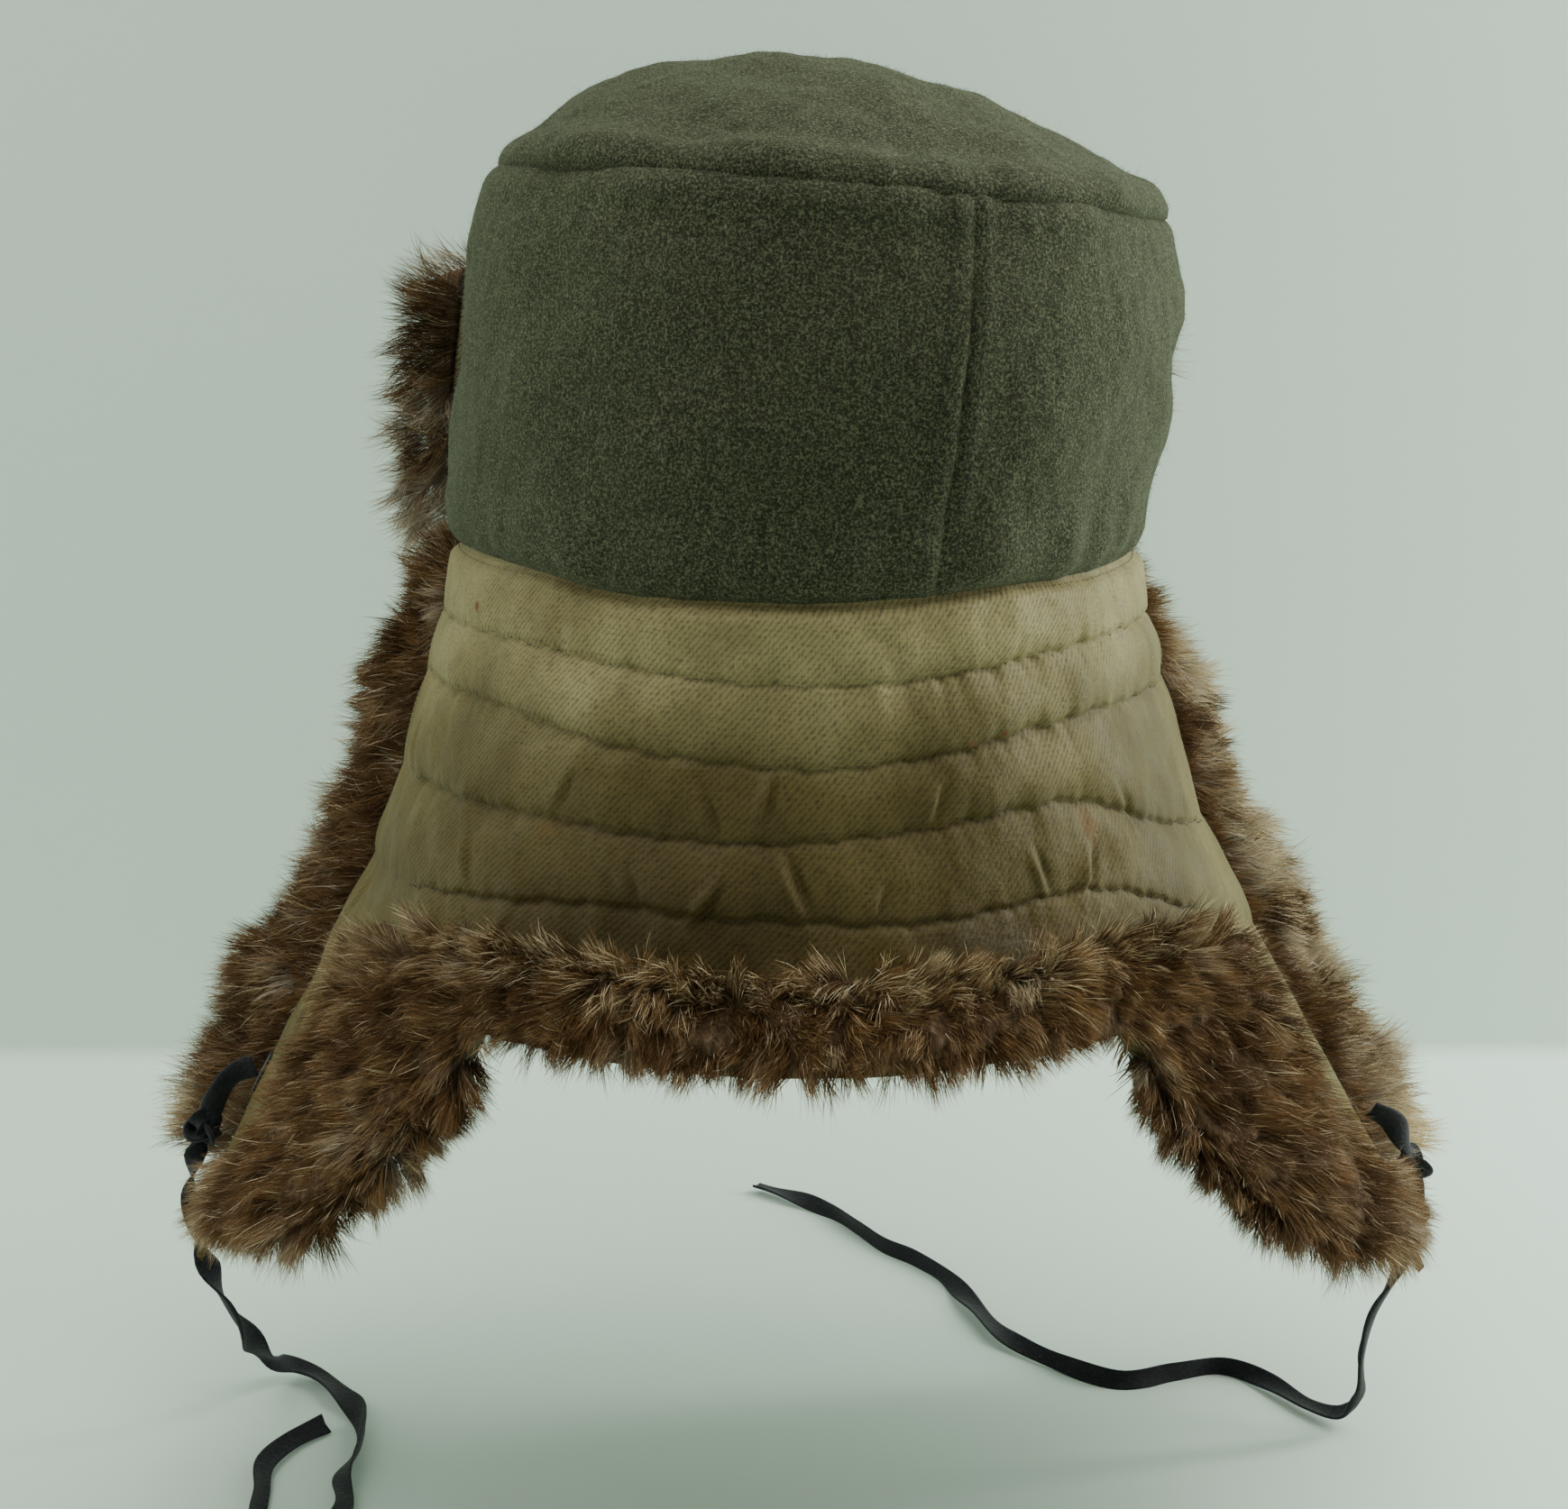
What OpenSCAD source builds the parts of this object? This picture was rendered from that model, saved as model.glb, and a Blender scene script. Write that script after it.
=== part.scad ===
// Winter fur cap with a felted crown, quilted ear and neck flaps and a turned-up front flap.
// Frame: +Z up, the front of the cap faces -Y, the wearer's left is +X. The origin is the
// centre of the head opening, level with the crown's hem.
// Azimuth a is measured about +Z from the back of the cap (+Y) towards the wearer's left (+X).

/* [Crown] */
// Outside width of the crown at its hem
hem_w = 192; // [184:1:200]
// Outside length of the crown at its hem, front to back
hem_l = 220; // [212:1:228]
// Outside width of the crown at the rim seam
rim_w = 180; // [172:1:188]
// Outside length of the crown at the rim seam
rim_l = 206; // [198:1:214]
// Height of the rim seam above the hem
rim_h = 98; // [90:1:106]
// Rise of the top panel above the rim seam
dome_h = 34; // [26:1:42]
// Swell of the side between the hem and the rim seam
bulge = 7; // [3:1:9]
// Slump of the crown towards the wearer's right, at the rim
lean = 11; // [0:1:14]
// Rise of the rim seam on the wearer's left, and its fall on the right
rim_tilt = 6; // [0:1:8]
// Azimuth of the side seam at the back
back_seam = -18; // [-20:1:20]

/* [Layers] */
// Thickness of the wool cloth
wool_t = 2.5; // [2:0.5:3]
// Thickness of the crown's wadding
crown_wad_t = 5; // [4:0.5:6]
// Thickness of the lining cloth
lining_t = 1.5; // [1:0.5:2]
// Thickness of the sweatband
sweat_t = 1.5; // [1:0.5:2]
// Thickness of the cotton covers
cover_t = 2; // [1.5:0.5:2.5]
// Thickness of the flaps' wadding
flap_wad_t = 4; // [3:0.5:5]
// Depth of the fur inside the flaps, skin and pile
pelt_t = 16; // [12:1:20]
// Depth of the fur trim outside the flaps
trim_t = 14; // [10:1:16]

/* [Flaps] */
// Height of the quilted band that joins the flaps to the crown
band_h = 19; // [16:1:22]
// Drop of the neck flap's cover below the hem
neck_drop = 106; // [96:1:114]
// Drop of the left ear flap's cover below the hem
left_drop = 196; // [186:1:206]
// Drop of the right ear flap's cover below the hem
right_drop = 200; // [190:1:206]
// Top edge of the fur trim, below the hem
trim_top = 80; // [76:1:84]
// How far the fur reaches past the edge of a cover
pile = 13; // [8:1:15]
// Height of the turned-up front flap above the hem
front_h = 70; // [60:1:74]
// Half the spread of the front flap, in degrees
front_half = 65; // [60:1:66]
// Turn of the front flap towards the wearer's left, in degrees
front_turn = 7; // [0:1:8]
// Extra flare of the right ear flap, as a share
right_open = 0.13; // [0:0.01:0.15]

/* [Ties] */
// Diameter of a rolled tape tie
tie_d = 5; // [4:0.5:6]

/* [Hidden] */

wool = "#4d5644";
cotton = "#8a7f5e";
fur = "#6b4a30";
cloth = "#3a3a30";
hide = "#5a3c28";
tape = "#141618";

gap = 0.6;                       // clearance between parts that move past each other
skin_gap = 0.4;                  // clearance between the trim's skin and the cover
ply = 0.4;                       // clearance between the layers of one padded wall
wall_t = wool_t + crown_wad_t + lining_t;
ear_axis_a = 70;                 // azimuth at which an ear flap's fold line touches the hem
split_k = 76.2;                  // distance from the head's centre to the ear flap's back edge
knee_d = 120;                    // drop at which the flaps stop curving outwards
ear_front = 86;                  // azimuth of the front edge of an ear flap's cover
pelt_front = 102;                // azimuth of the front edge of its fur
trim_front = 68;                 // azimuth of the front edge of its fur trim
tip_front = 84;                  // azimuth of the front edge of the trim at the lobe's tip
tie_a = 84;                      // azimuth of the tabs that hold the ties
left_tie_d = 153;                // drop of the left tab
right_tie_d = 168;               // drop of the right tab
curl = 18;                       // outward curl of the fur in front of the cover
ear_slack = 0.27;                // drop of a flap's top edge for each mm inside its fold line
front_gap = 5;                   // clearance behind the front flap, so that it can swing
arch_d = 119;                    // drop of the corner between the neck flap and an ear flap
floor_z = -270.5;                // surface that the loose ends of the ties lie on

// Routes of the two ties, from the flap's edge to the free end
left_route = [[157, 18, -151], [165, 18, -156], [173, 17, -171], [178, 18, -191],
  [175, 18, -211], [169, 16, -229], [164, 8, -246], [161, -4, -259], [156, -13, -266],
  [148, -10, -268], [139, 1, -268], [131, 14, -268], [129, 30, -268], [131, 46, -268],
  [128, 62, -268], [132, 77, -268], [143, 81, -268], [151, 70, -268], [153, 54, -268],
  [155, 40, -268], [150, 28, -268], [141, 18, -268]];
right_route = [[-174, 19, -166], [-182, 19, -171], [-188, 18, -184], [-189, 20, -200],
  [-186, 22, -215], [-178, 24, -230], [-175, 25, -244], [-176, 24, -257], [-172, 20, -266],
  [-164, 12, -268], [-155, -2, -268], [-143, -12, -268], [-126, -8, -268], [-107, -4, -268],
  [-89, -16, -268], [-74, -33, -268], [-66, -55, -268], [-59, -75, -268], [-50, -88, -268],
  [-40, -98, -268], [-31, -112, -268], [-22, -126, -268], [-9, -138, -268], [6, -149, -268]];
knot_at = 2;                     // the route point that carries a tie's knot

// ---- the wall's shape --------------------------------------------------------------------

// Outward flare of the flaps at a drop of d below the hem
function flare(d) =
  let (k = min(d, knee_d)) 0.17 * k + 0.0014 * k * k + 0.54 * max(0, d - knee_d);

// Growth of the wall's half-width and half-length at height z, with a share more flare
function swell(z, share) = z < 0 ? flare(-z) * (1 + share) : bulge * sin(180 * z / rim_h);
function taper(hem, rim, z) = (hem + (rim - hem) * max(0, z) / rim_h) / 2;

// Half-width and half-length of the wall at height z, off millimetres outside its outer face
function half_w(z, off, share = 0) = off + taper(hem_w, rim_w, z) + swell(z, share);
function half_l(z, off, share = 0) = off + taper(hem_l, rim_l, z) + swell(z, share);

// The crown slumps to one side as it rises
function slump(p) =
  let (k = max(0, min(1, p.z / rim_h)))
  [p.x - lean * pow(k, 1.2), p.y, p.z + rim_tilt * k * p.x / (rim_w / 2)];

// The extra flare of a flap grows from its back edge towards its front
function spread(a) = let (k = max(0, min(1, (a - 42) / 30))) k * k * (3 - 2 * k);

// Point of the wall at azimuth a, height z and offset off
function wall(a, z, off, open = 0) =
  let (share = open * spread(a))
  slump([half_w(z, off, share) * sin(a), half_l(z, off, share) * cos(a), z]);

// Point of the top panel at azimuth a and fraction r of its radius
function dome(a, r, off) = slump([half_w(rim_h, off) * r * sin(a), half_l(rim_h, off) * r * cos(a),
  rim_h + off + dome_h * (1 - pow(r, 2.3))]);

// Azimuth at which the wall meets the plane between the neck flap and an ear flap
function split_a(d, off, k) =
  let (u = half_w(-d, off) * cos(ear_axis_a), v = half_l(-d, off) * sin(ear_axis_a))
  acos(k / sqrt(u * u + v * v)) - atan2(u, v);

// ---- closed shells -----------------------------------------------------------------------

function steps(from, to, n) = [for (i = [0 : n]) from + (to - from) * i / n];
function flat(rows) = [for (row = rows) each row];

// Two triangles for each cell of a grid of m rows and n columns whose first point is s
function cells(m, n, s, turned, closed) =
  [for (j = [0 : m - 2], i = [0 : n - (closed ? 1 : 2)])
    let (a = s + j * n + i, b = s + j * n + (i + 1) % n, c = b + n, d = a + n)
    each turned ? [[a, c, b], [a, d, c]] : [[a, b, c], [a, c, d]]];

// Two triangles for each cell between an edge of the outer grid and the same inner edge
function edge(ids, s) =
  [for (i = [0 : len(ids) - 2])
    let (a = ids[i], b = ids[i + 1]) each [[a, b, b + s], [a, b + s, a + s]]];

// A closed sheet between an outer and an inner grid of points
module sheet(outer, inner) {
  m = len(outer);
  n = len(outer[0]);
  s = m * n;
  top = [for (i = [0 : n - 1]) i];
  bottom = [for (i = [n - 1 : -1 : 0]) (m - 1) * n + i];
  first = [for (j = [m - 1 : -1 : 0]) j * n];
  last = [for (j = [0 : m - 1]) j * n + n - 1];
  polyhedron(concat(flat(outer), flat(inner)),
    concat(cells(m, n, 0, true, false), cells(m, n, s, false, false),
      edge(top, s), edge(bottom, s), edge(first, s), edge(last, s)));
}

// A closed ring between an outer and an inner grid whose rows run all the way round
module ring(outer, inner) {
  m = len(outer);
  n = len(outer[0]);
  s = m * n;
  top = [for (i = [0 : n]) i % n];
  bottom = [for (i = [n : -1 : 0]) (m - 1) * n + i % n];
  polyhedron(concat(flat(outer), flat(inner)),
    concat(cells(m, n, 0, true, true), cells(m, n, s, false, true),
      edge(top, s), edge(bottom, s)));
}

// A closed cap between two grids whose rows run round and shrink to a middle point
module cap(outer, inner) {
  m = len(outer);
  n = len(outer[0]);
  s = m * n;
  last = (m - 1) * n;
  rim = [for (i = [0 : n]) i % n];
  hub = [for (grid = [outer, inner])
    [for (k = [0 : 2]) (grid[m - 1][0][k] + grid[m - 1][n / 2][k]) / 2]];
  fan = [for (i = [0 : n - 1]) let (a = last + i, b = last + (i + 1) % n)
    each [[a, 2 * s, b], [a + s, b + s, 2 * s + 1]]];
  polyhedron(concat(flat(outer), flat(inner), hub),
    concat(cells(m, n, 0, true, true), cells(m, n, s, false, true), edge(rim, s), fan));
}

// ---- the crown ---------------------------------------------------------------------------

// One layer of the crown's side between two azimuths, from height z0 up to z1
module side_layer(a0, a1, z0, z1, out, depth, n) {
  grid = [for (off = [-out, -out - depth])
    [for (z = steps(z1, z0, 6)) [for (a = steps(a0, a1, n)) wall(a, z, off)]]];
  sheet(grid[0], grid[1]);
}

module side_ring(z0, z1, out, depth, rows = 6) {
  grid = [for (off = [-out, -out - depth])
    [for (z = steps(z1, z0, rows)) [for (i = [0 : 39]) wall(i * 9, z, off)]]];
  ring(grid[0], grid[1]);
}

// One layer of the top panel, reaching out to a fraction r1 of its radius
module top_layer(out, depth) {
  grid = [for (off = [-out, -out - depth])
    [for (r = [1, 0.92, 0.78, 0.6, 0.4, 0.18]) [for (i = [0 : 39]) dome(i * 9, r, off)]]];
  cap(grid[0], grid[1]);
}

module crown_top() color(wool) top_layer(0, wool_t);

module crown_side_left() color(wool)
  side_layer(back_seam, 180, 0, rim_h - wool_t, 0, wool_t, 22);

module crown_side_right() color(wool)
  side_layer(-180, back_seam, 0, rim_h - wool_t, 0, wool_t, 20);

module top_wadding() color("ivory") top_layer(wool_t + ply, crown_wad_t - ply);

// A quarter of the wadding in the crown's side, centred on azimuth a
module wadding_quarter(a) color("ivory")
  side_layer(a - 45, a + 45, 0, rim_h - wool_t - crown_wad_t, wool_t + ply, crown_wad_t - ply, 10);

module side_wadding_back() wadding_quarter(0);
module side_wadding_left() wadding_quarter(90);
module side_wadding_front() wadding_quarter(180);
module side_wadding_right() wadding_quarter(270);

module lining_top() color(cloth) top_layer(wool_t + crown_wad_t + ply, lining_t - ply);

module lining_side() color(cloth)
  side_ring(0, rim_h - wall_t - 1, wool_t + crown_wad_t + ply, lining_t - ply);

module sweatband() color(hide) side_ring(0, 30, wall_t + ply, sweat_t, 3);

// ---- the flaps ---------------------------------------------------------------------------

// One layer of a flap: rows from drop d0 to d1, each from azimuth f0(d) to f1(d)
module band_layer(a, d0, d1, out, depth, n, m) {
  grid = [for (off = [-out, -out - depth])
    [for (d = steps(d0, d1, m)) [for (t = steps(-a, a, n)) wall(t, -d, off)]]];
  sheet(grid[0], grid[1]);
}

module hem_band() color(cotton) band_layer(ear_front, 0.3, band_h - gap / 2, -0.5, 3, 32, 3);

module hem_band_wadding() color("ivory")
  band_layer(ear_front, 0.3, band_h - gap / 2, 2.5 + ply, wall_t - 2.5 - ply, 32, 3);

module front_binding() color(cotton) {
  grid = [for (off = [0, -wall_t])
    [for (z = [-0.3, -4]) [for (a = steps(pelt_front + 2, 358 - pelt_front, 20)) wall(a, z, off)]]];
  sheet(grid[0], grid[1]);
}

// How far a flap's top edge drops where it curves inside its own fold line
function slack(a, axis_a, off) =
  let (reach = hem_w / 2 + (hem_l - hem_w) / 2 * pow(cos(axis_a), 2))
  ear_slack * max(0, reach * (1 - cos(a - axis_a)) - off);

module neck_layer(d0, d1, out, depth) {
  grid = [for (off = [-out, -out - depth])
    [for (q = steps(0, 1, 8)) let (d = d0 + (d1 - d0) * q)
      let (a = split_a(d, off, split_k + gap))
      [for (t = steps(-a, a, 24)) wall(t, -d, off)]]];
  sheet(grid[0], grid[1]);
}

module neck_cover() color(cotton) neck_layer(band_h + gap / 2, neck_drop, 0, cover_t);

module neck_wadding() color("ivory")
  neck_layer(band_h + gap / 2, neck_drop, cover_t + ply, flap_wad_t - ply);

module neck_pelt() color(fur)
  neck_layer(band_h + gap / 2, neck_drop + pile, cover_t + flap_wad_t + ply, pelt_t - ply);

module neck_fur_trim() color(fur)
  neck_layer(trim_top, neck_drop + pile, -trim_t - skin_gap, trim_t);

// Back edge of an ear flap at drop d: the straight split, then the inner edge of its lobe
function ear_back(d, drop, off) =
  split_a(d, off, split_k - gap) + 26 * pow(max(0, d - arch_d) / (drop - arch_d), 1.6);

// The drop at which the back edge lies once the flap's top edge is slack
function back_d(low, drop, off, share) =
  low + share * slack(ear_back(low + 0.5 * share * slack(ear_back(low, drop, off), ear_axis_a, off),
    drop, off), ear_axis_a, off);

// Front edge at drop d, rounded over the last 35 mm of the lobe
function ear_fore(d, drop, front) =
  front - (front > ear_front ? 12 : 6) * pow(max(0, d - drop + 35) / 35, 2);

// Front edge of the fur trim, which widens towards the lobe's tip
function trim_fore(d) = trim_front + 0.2 * max(0, d - 140);

// Azimuth of column i of an ear flap's 18 columns: the last four lie past the cover's edge
function column(back, fore, i) =
  let (lip = min(fore, ear_front + 0.5))
  fore < ear_front + 2 ? back + (fore - back) * i / 18
  : i <= 14 ? back + (lip - back) * i / 14 : lip + (fore - lip) * (i - 14) / 4;

// The fur curls outwards in front of the cover's front edge, but not at the lobe's tip
function fold_out(a, d, drop) = max(0, min(1, (a - ear_front - 0.5) / 3)) * min(1, d / 70)
  * max(0, min(1, (drop - 20 - d) / 15));

module ear_layer(d0, drop, open, out, depth, front = ear_front, curl_out = 0, trim = false) {
  m = 12;
  grid = [for (side = [0, 1])
    [for (j = [0 : m])
      [for (i = [0 : 18])
        let (off = -out - side * depth)
        let (low = d0 + (drop - d0) * j / m)
        let (fore = ear_fore(low, drop, front))
        let (edge_a = trim ? min(fore, trim_fore(low)) : fore)
        let (a = column(ear_back(back_d(low, drop, off, 1 - j / m), drop, off), edge_a, i))
        let (d = low + slack(a, ear_axis_a, off) * (1 - j / m))
        wall(a, -d, off + (side == 0 ? curl_out * fold_out(a, d, drop) : 0), open)]]];
  sheet(grid[0], grid[1]);
}

module ear_cover(drop, open) color(cotton)
  ear_layer(band_h + gap / 2, drop, open, 0, cover_t);

module ear_wadding(drop, open) color("ivory")
  ear_layer(band_h + gap / 2, drop, open, cover_t + ply, flap_wad_t - ply);

module ear_pelt(drop, open) color(fur)
  ear_layer(band_h + gap / 2, drop + 2, open, cover_t + flap_wad_t + ply, pelt_t - ply,
    pelt_front, curl);

module ear_fur_trim(drop, open) color(fur)
  ear_layer(trim_top, drop + 2, open, -trim_t - skin_gap, trim_t, tip_front, 0, true);

// A flat stitched tab that holds the start of a tie, at drop d
module tie_tab(d, open) color(tape) {
  lean_out = atan(0.54 * (1 + open));
  translate(wall(tie_a, -d, 1.5, open))
    rotate([0, -lean_out, 90 - tie_a])
      cube([2, 9, 10], center = true);
}

module left_ear_cover() ear_cover(left_drop, 0);
module left_ear_wadding() ear_wadding(left_drop, 0);
module left_ear_pelt() ear_pelt(left_drop, 0);
module left_ear_fur_trim() ear_fur_trim(left_drop, 0);
module left_tie_tab() tie_tab(left_tie_d, 0);
module right_ear_cover() mirror([1, 0, 0]) ear_cover(right_drop, right_open);
module right_ear_wadding() mirror([1, 0, 0]) ear_wadding(right_drop, right_open);
module right_ear_pelt() mirror([1, 0, 0]) ear_pelt(right_drop, right_open);
module right_ear_fur_trim() mirror([1, 0, 0]) ear_fur_trim(right_drop, right_open);
module right_tie_tab() mirror([1, 0, 0]) tie_tab(right_tie_d, right_open);

// ---- the turned-up front flap --------------------------------------------------------------

module front_layer(out, depth, top) {
  grid = [for (off = [front_gap + out + depth, front_gap + out])
    [for (z = steps(top, 1, 6))
      [for (t = steps(-front_half, front_half, 24)) wall(180 - front_turn + t, z, off)]]];
  sheet(grid[0], grid[1]);
}

module front_cover() color(cotton) front_layer(0, cover_t, front_h);
module front_wadding() color("ivory")
  front_layer(cover_t + ply, flap_wad_t - ply, front_h);
module front_pelt() color(fur)
  front_layer(cover_t + flap_wad_t + ply, pelt_t + 4 - ply, front_h + 8);

// ---- the ties ----------------------------------------------------------------------------

// Point of a smooth curve through points p, a fraction u of the way from point i to point i + 1
function spline(p, i, u) =
  let (n = len(p) - 1, a = p[max(0, i - 1)], b = p[i], c = p[min(n, i + 1)], d = p[min(n, i + 2)])
  0.5 * (2 * b + (c - a) * u + (2 * a - 5 * b + 4 * c - d) * u * u
    + (3 * b - a - 3 * c + d) * u * u * u);

function fine(p) = [for (i = [0 : len(p) - 2], u = [0, 0.5]) spline(p, i, u), p[len(p) - 1]];

// Turns vector e by the same turn that takes straight down to direction t
function swing(e, t) =
  let (down = [0, 0, -1], v = cross(down, t), c = down * t)
  e + cross(v, e) + cross(v, cross(v, e)) / (1 + c);

module tube(route, d) {
  path = fine(route);
  n = len(path);
  sides = 8;
  rings = [for (i = [0 : n - 1])
    let (ahead = path[min(n - 1, i + 1)] - path[max(0, i - 1)], t = ahead / norm(ahead))
    [for (k = [0 : sides - 1]) let (w = k * 360 / sides + 22.5)
      path[i] + d / 2 * swing([cos(w), sin(w), 0], t)]];
  start = [for (k = [0 : sides - 1]) k];
  end = [for (k = [sides - 1 : -1 : 0]) (n - 1) * sides + k];
  polyhedron(flat(rings), concat(cells(n, sides, 0, true, true), [start, end]));
}

// A tie's single overhand knot
module knot(p) color(tape) translate(p) sphere(d = 10, $fn = 24);

module left_tie() color(tape) tube(left_route, tie_d);
module left_tie_knot() knot(left_route[knot_at]);
module right_tie() color(tape) tube(right_route, tie_d);
module right_tie_knot() knot(right_route[knot_at]);

crown_top();
crown_side_left();
crown_side_right();
top_wadding();
side_wadding_back();
side_wadding_left();
side_wadding_front();
side_wadding_right();
lining_top();
lining_side();
sweatband();
hem_band();
hem_band_wadding();
front_binding();
neck_cover();
neck_wadding();
neck_pelt();
neck_fur_trim();
left_ear_cover();
left_ear_wadding();
left_ear_pelt();
left_ear_fur_trim();
left_tie_tab();
left_tie();
left_tie_knot();
right_ear_cover();
right_ear_wadding();
right_ear_pelt();
right_ear_fur_trim();
right_tie_tab();
right_tie();
right_tie_knot();
front_cover();
front_wadding();
front_pelt();
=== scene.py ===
"""Winter fur cap: felted wool crown, quilted cotton curtain, rabbit fur and tape ties.

Lengths in this script are millimetres until a mesh is made, and azimuths are degrees about +Z
from the back of the cap (+Y) towards the wearer's left (+X), as in the CAD model.
"""

import math

import bpy
import numpy as np
from mathutils import Matrix, Vector


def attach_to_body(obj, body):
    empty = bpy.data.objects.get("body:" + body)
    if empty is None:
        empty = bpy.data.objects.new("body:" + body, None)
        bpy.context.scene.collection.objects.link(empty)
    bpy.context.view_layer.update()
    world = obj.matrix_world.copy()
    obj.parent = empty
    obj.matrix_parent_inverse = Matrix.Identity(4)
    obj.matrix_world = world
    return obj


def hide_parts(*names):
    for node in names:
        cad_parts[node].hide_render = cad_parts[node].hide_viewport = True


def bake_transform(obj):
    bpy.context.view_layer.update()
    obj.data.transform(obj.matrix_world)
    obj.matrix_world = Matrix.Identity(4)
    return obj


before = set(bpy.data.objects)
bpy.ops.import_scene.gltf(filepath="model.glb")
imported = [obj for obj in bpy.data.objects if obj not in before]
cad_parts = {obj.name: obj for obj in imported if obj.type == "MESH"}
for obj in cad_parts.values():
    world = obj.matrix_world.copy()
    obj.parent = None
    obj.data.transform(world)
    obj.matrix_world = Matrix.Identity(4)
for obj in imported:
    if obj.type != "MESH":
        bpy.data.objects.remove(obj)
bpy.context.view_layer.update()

MM = 0.001
BODIES = {"neck": "neck_flap", "left": "left_ear_flap", "right": "right_ear_flap"}
NODES = {"neck": "neck", "left": "left_ear", "right": "right_ear"}
SIGN = {"neck": 1.0, "left": 1.0, "right": -1.0}

# ---- the wall's shape, as the CAD model has it ----

# Width and length at the hem and at the rim, the rim's height and the dome's above it.
HEM_W, HEM_L = 192.0, 220.0
RIM_W, RIM_L = 180.0, 206.0
RIM_H = 98.0
DOME_H = 34.0
BULGE = 7.0
LEAN = 11.0
RIM_TILT = 6.0
BACK_SEAM = -18.0
# The drop at the curtain's knee, and how far each flap hangs below the hem.
KNEE = 120.0
DROP = {"neck": 106.0, "left": 196.0, "right": 200.0}
RIGHT_SPREAD = 0.13
# The plane between the neck and ear flaps, and the drop where an ear flap's back edge leaves it.
SPLIT_K = 76.2
AXIS_A = math.radians(70)
ARCH_D = 119.0
EAR_FRONT = 86.0
PELT_FRONT = 102.0
FRONT_MID = 173.0
FRONT_HALF = 65.0
FRONT_GAP = 5.0
FRONT_H = 70.0
FLOOR_Z = -270.5
# Mean radii, for turning azimuths into lengths.
HEM_R = 108.0
SIDE_R = 100.0
RIM_R = 95.0


def smooth(x, low, high):
    """0 below low, 1 above high, and a smooth step between them."""
    t = np.clip((x - low) / (high - low), 0, 1)
    return t * t * (3 - 2 * t)


def bell(x, middle, width):
    """A bump, 1 high at its middle."""
    return np.exp(-((x - middle) / width) ** 2)


def wrapped(a):
    """Azimuths brought between -180 and 180 degrees."""
    return (a + 180) % 360 - 180


def unit(vectors):
    """Vectors brought to length 1."""
    return vectors / (np.linalg.norm(vectors, axis=-1, keepdims=True) + 1e-9)


def together(*values):
    """Arrays of one common shape."""
    return np.broadcast_arrays(*(np.asarray(value, float) for value in values))


def flare(d):
    """How far the curtain stands out, d below the hem: faster down to the knee, then evenly."""
    k = np.minimum(d, KNEE)
    return 0.17 * k + 0.0014 * k * k + 0.54 * np.maximum(0, d - KNEE)


def mm_per_degree(d):
    """About how far one degree of azimuth reaches along the wall, d below the hem."""
    return math.radians(1) * (HEM_R + flare(np.maximum(0, d)))


def half_sizes(z, off, share):
    """Half of the wall's width and length at heights z, with off and a share added below."""
    grow = np.where(z < 0, flare(np.maximum(0, -z)) * (1 + share),
                    BULGE * np.sin(np.pi * np.maximum(0, z) / RIM_H))
    k = np.maximum(0, z) / RIM_H
    return (off + (HEM_W + (RIM_W - HEM_W) * k) / 2 + grow,
            off + (HEM_L + (RIM_L - HEM_L) * k) / 2 + grow)


def slump(x, y, z):
    """Leans the crown's top over to the right, as it sits in the photograph."""
    k = np.clip(z / RIM_H, 0, 1)
    return np.stack([x - LEAN * k ** 1.2, y, z + RIM_TILT * k * x / (RIM_W / 2)], -1)


def shoulder(a, z):
    """How far the side panel swells below the rim on the hat's left."""
    return 5.5 * bell(a, 85, 40) * bell(z, 88, 22)


def wall(a, z, off=0.0, side=None):
    """Points of the wall at azimuths a, heights z and offsets off. side names an ear flap."""
    a, z, off = together(a, z, off)
    share = RIGHT_SPREAD * smooth(-a, 42, 72) if side != "left" else 0.0
    half_w, half_l = half_sizes(z, off + shoulder(a, z), share)
    t = np.radians(a)
    return slump(half_w * np.sin(t), half_l * np.cos(t), z)


def dome(a, r, off=0.0):
    """Points of the top panel at azimuths a and fractions r of its radius."""
    a, r, off = together(a, r, off)
    swell = shoulder(wrapped(a), RIM_H)
    half_w, half_l = half_sizes(np.full(a.shape, RIM_H), off + swell, 0.0)
    t = np.radians(a)
    skew = 5.0 * (1 - r * r)
    return slump(half_w * r * np.sin(t) + skew, half_l * r * np.cos(t),
                 RIM_H + off + DOME_H * (1 - r ** 2.3))


def around_axis(a, radius, z=0.0):
    """Points at azimuths a, radii and heights about a plain upright axis."""
    turn = np.radians(a)
    return np.stack(together(np.sin(turn) * radius, np.cos(turn) * radius, z), -1)


def split_a(d, off=0.0, k=SPLIT_K):
    """Azimuth at which the wall meets the plane between the neck flap and an ear flap."""
    half_w, half_l = half_sizes(-d, off, 0.0)
    u, v = half_w * math.cos(AXIS_A), half_l * math.sin(AXIS_A)
    return np.degrees(np.arccos(k / np.hypot(u, v)) - np.arctan2(u, v))


def ear_back(d, drop, k=SPLIT_K):
    """Azimuth of an ear flap's back edge, which leaves the split below the neck flap."""
    low = np.maximum(0, d - ARCH_D) / (drop - ARCH_D)
    back = np.maximum(split_a(d, k=k) + 26 * low ** 1.6, d - drop + 87)
    return np.minimum(back, ear_fore(d, drop) - 0.3)


def ear_fore(d, drop, front=EAR_FRONT):
    """Azimuth of an ear flap's front edge, which curls in towards its tip."""
    return front - 12 * (np.maximum(0, d - drop + 35) / 35) ** 2


def trim_fore(d):
    """Azimuth that the fur trim on an ear flap's outside reaches to."""
    return 68 + 0.2 * np.maximum(0, d - 140)


# ---- smooth random fields ----

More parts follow.
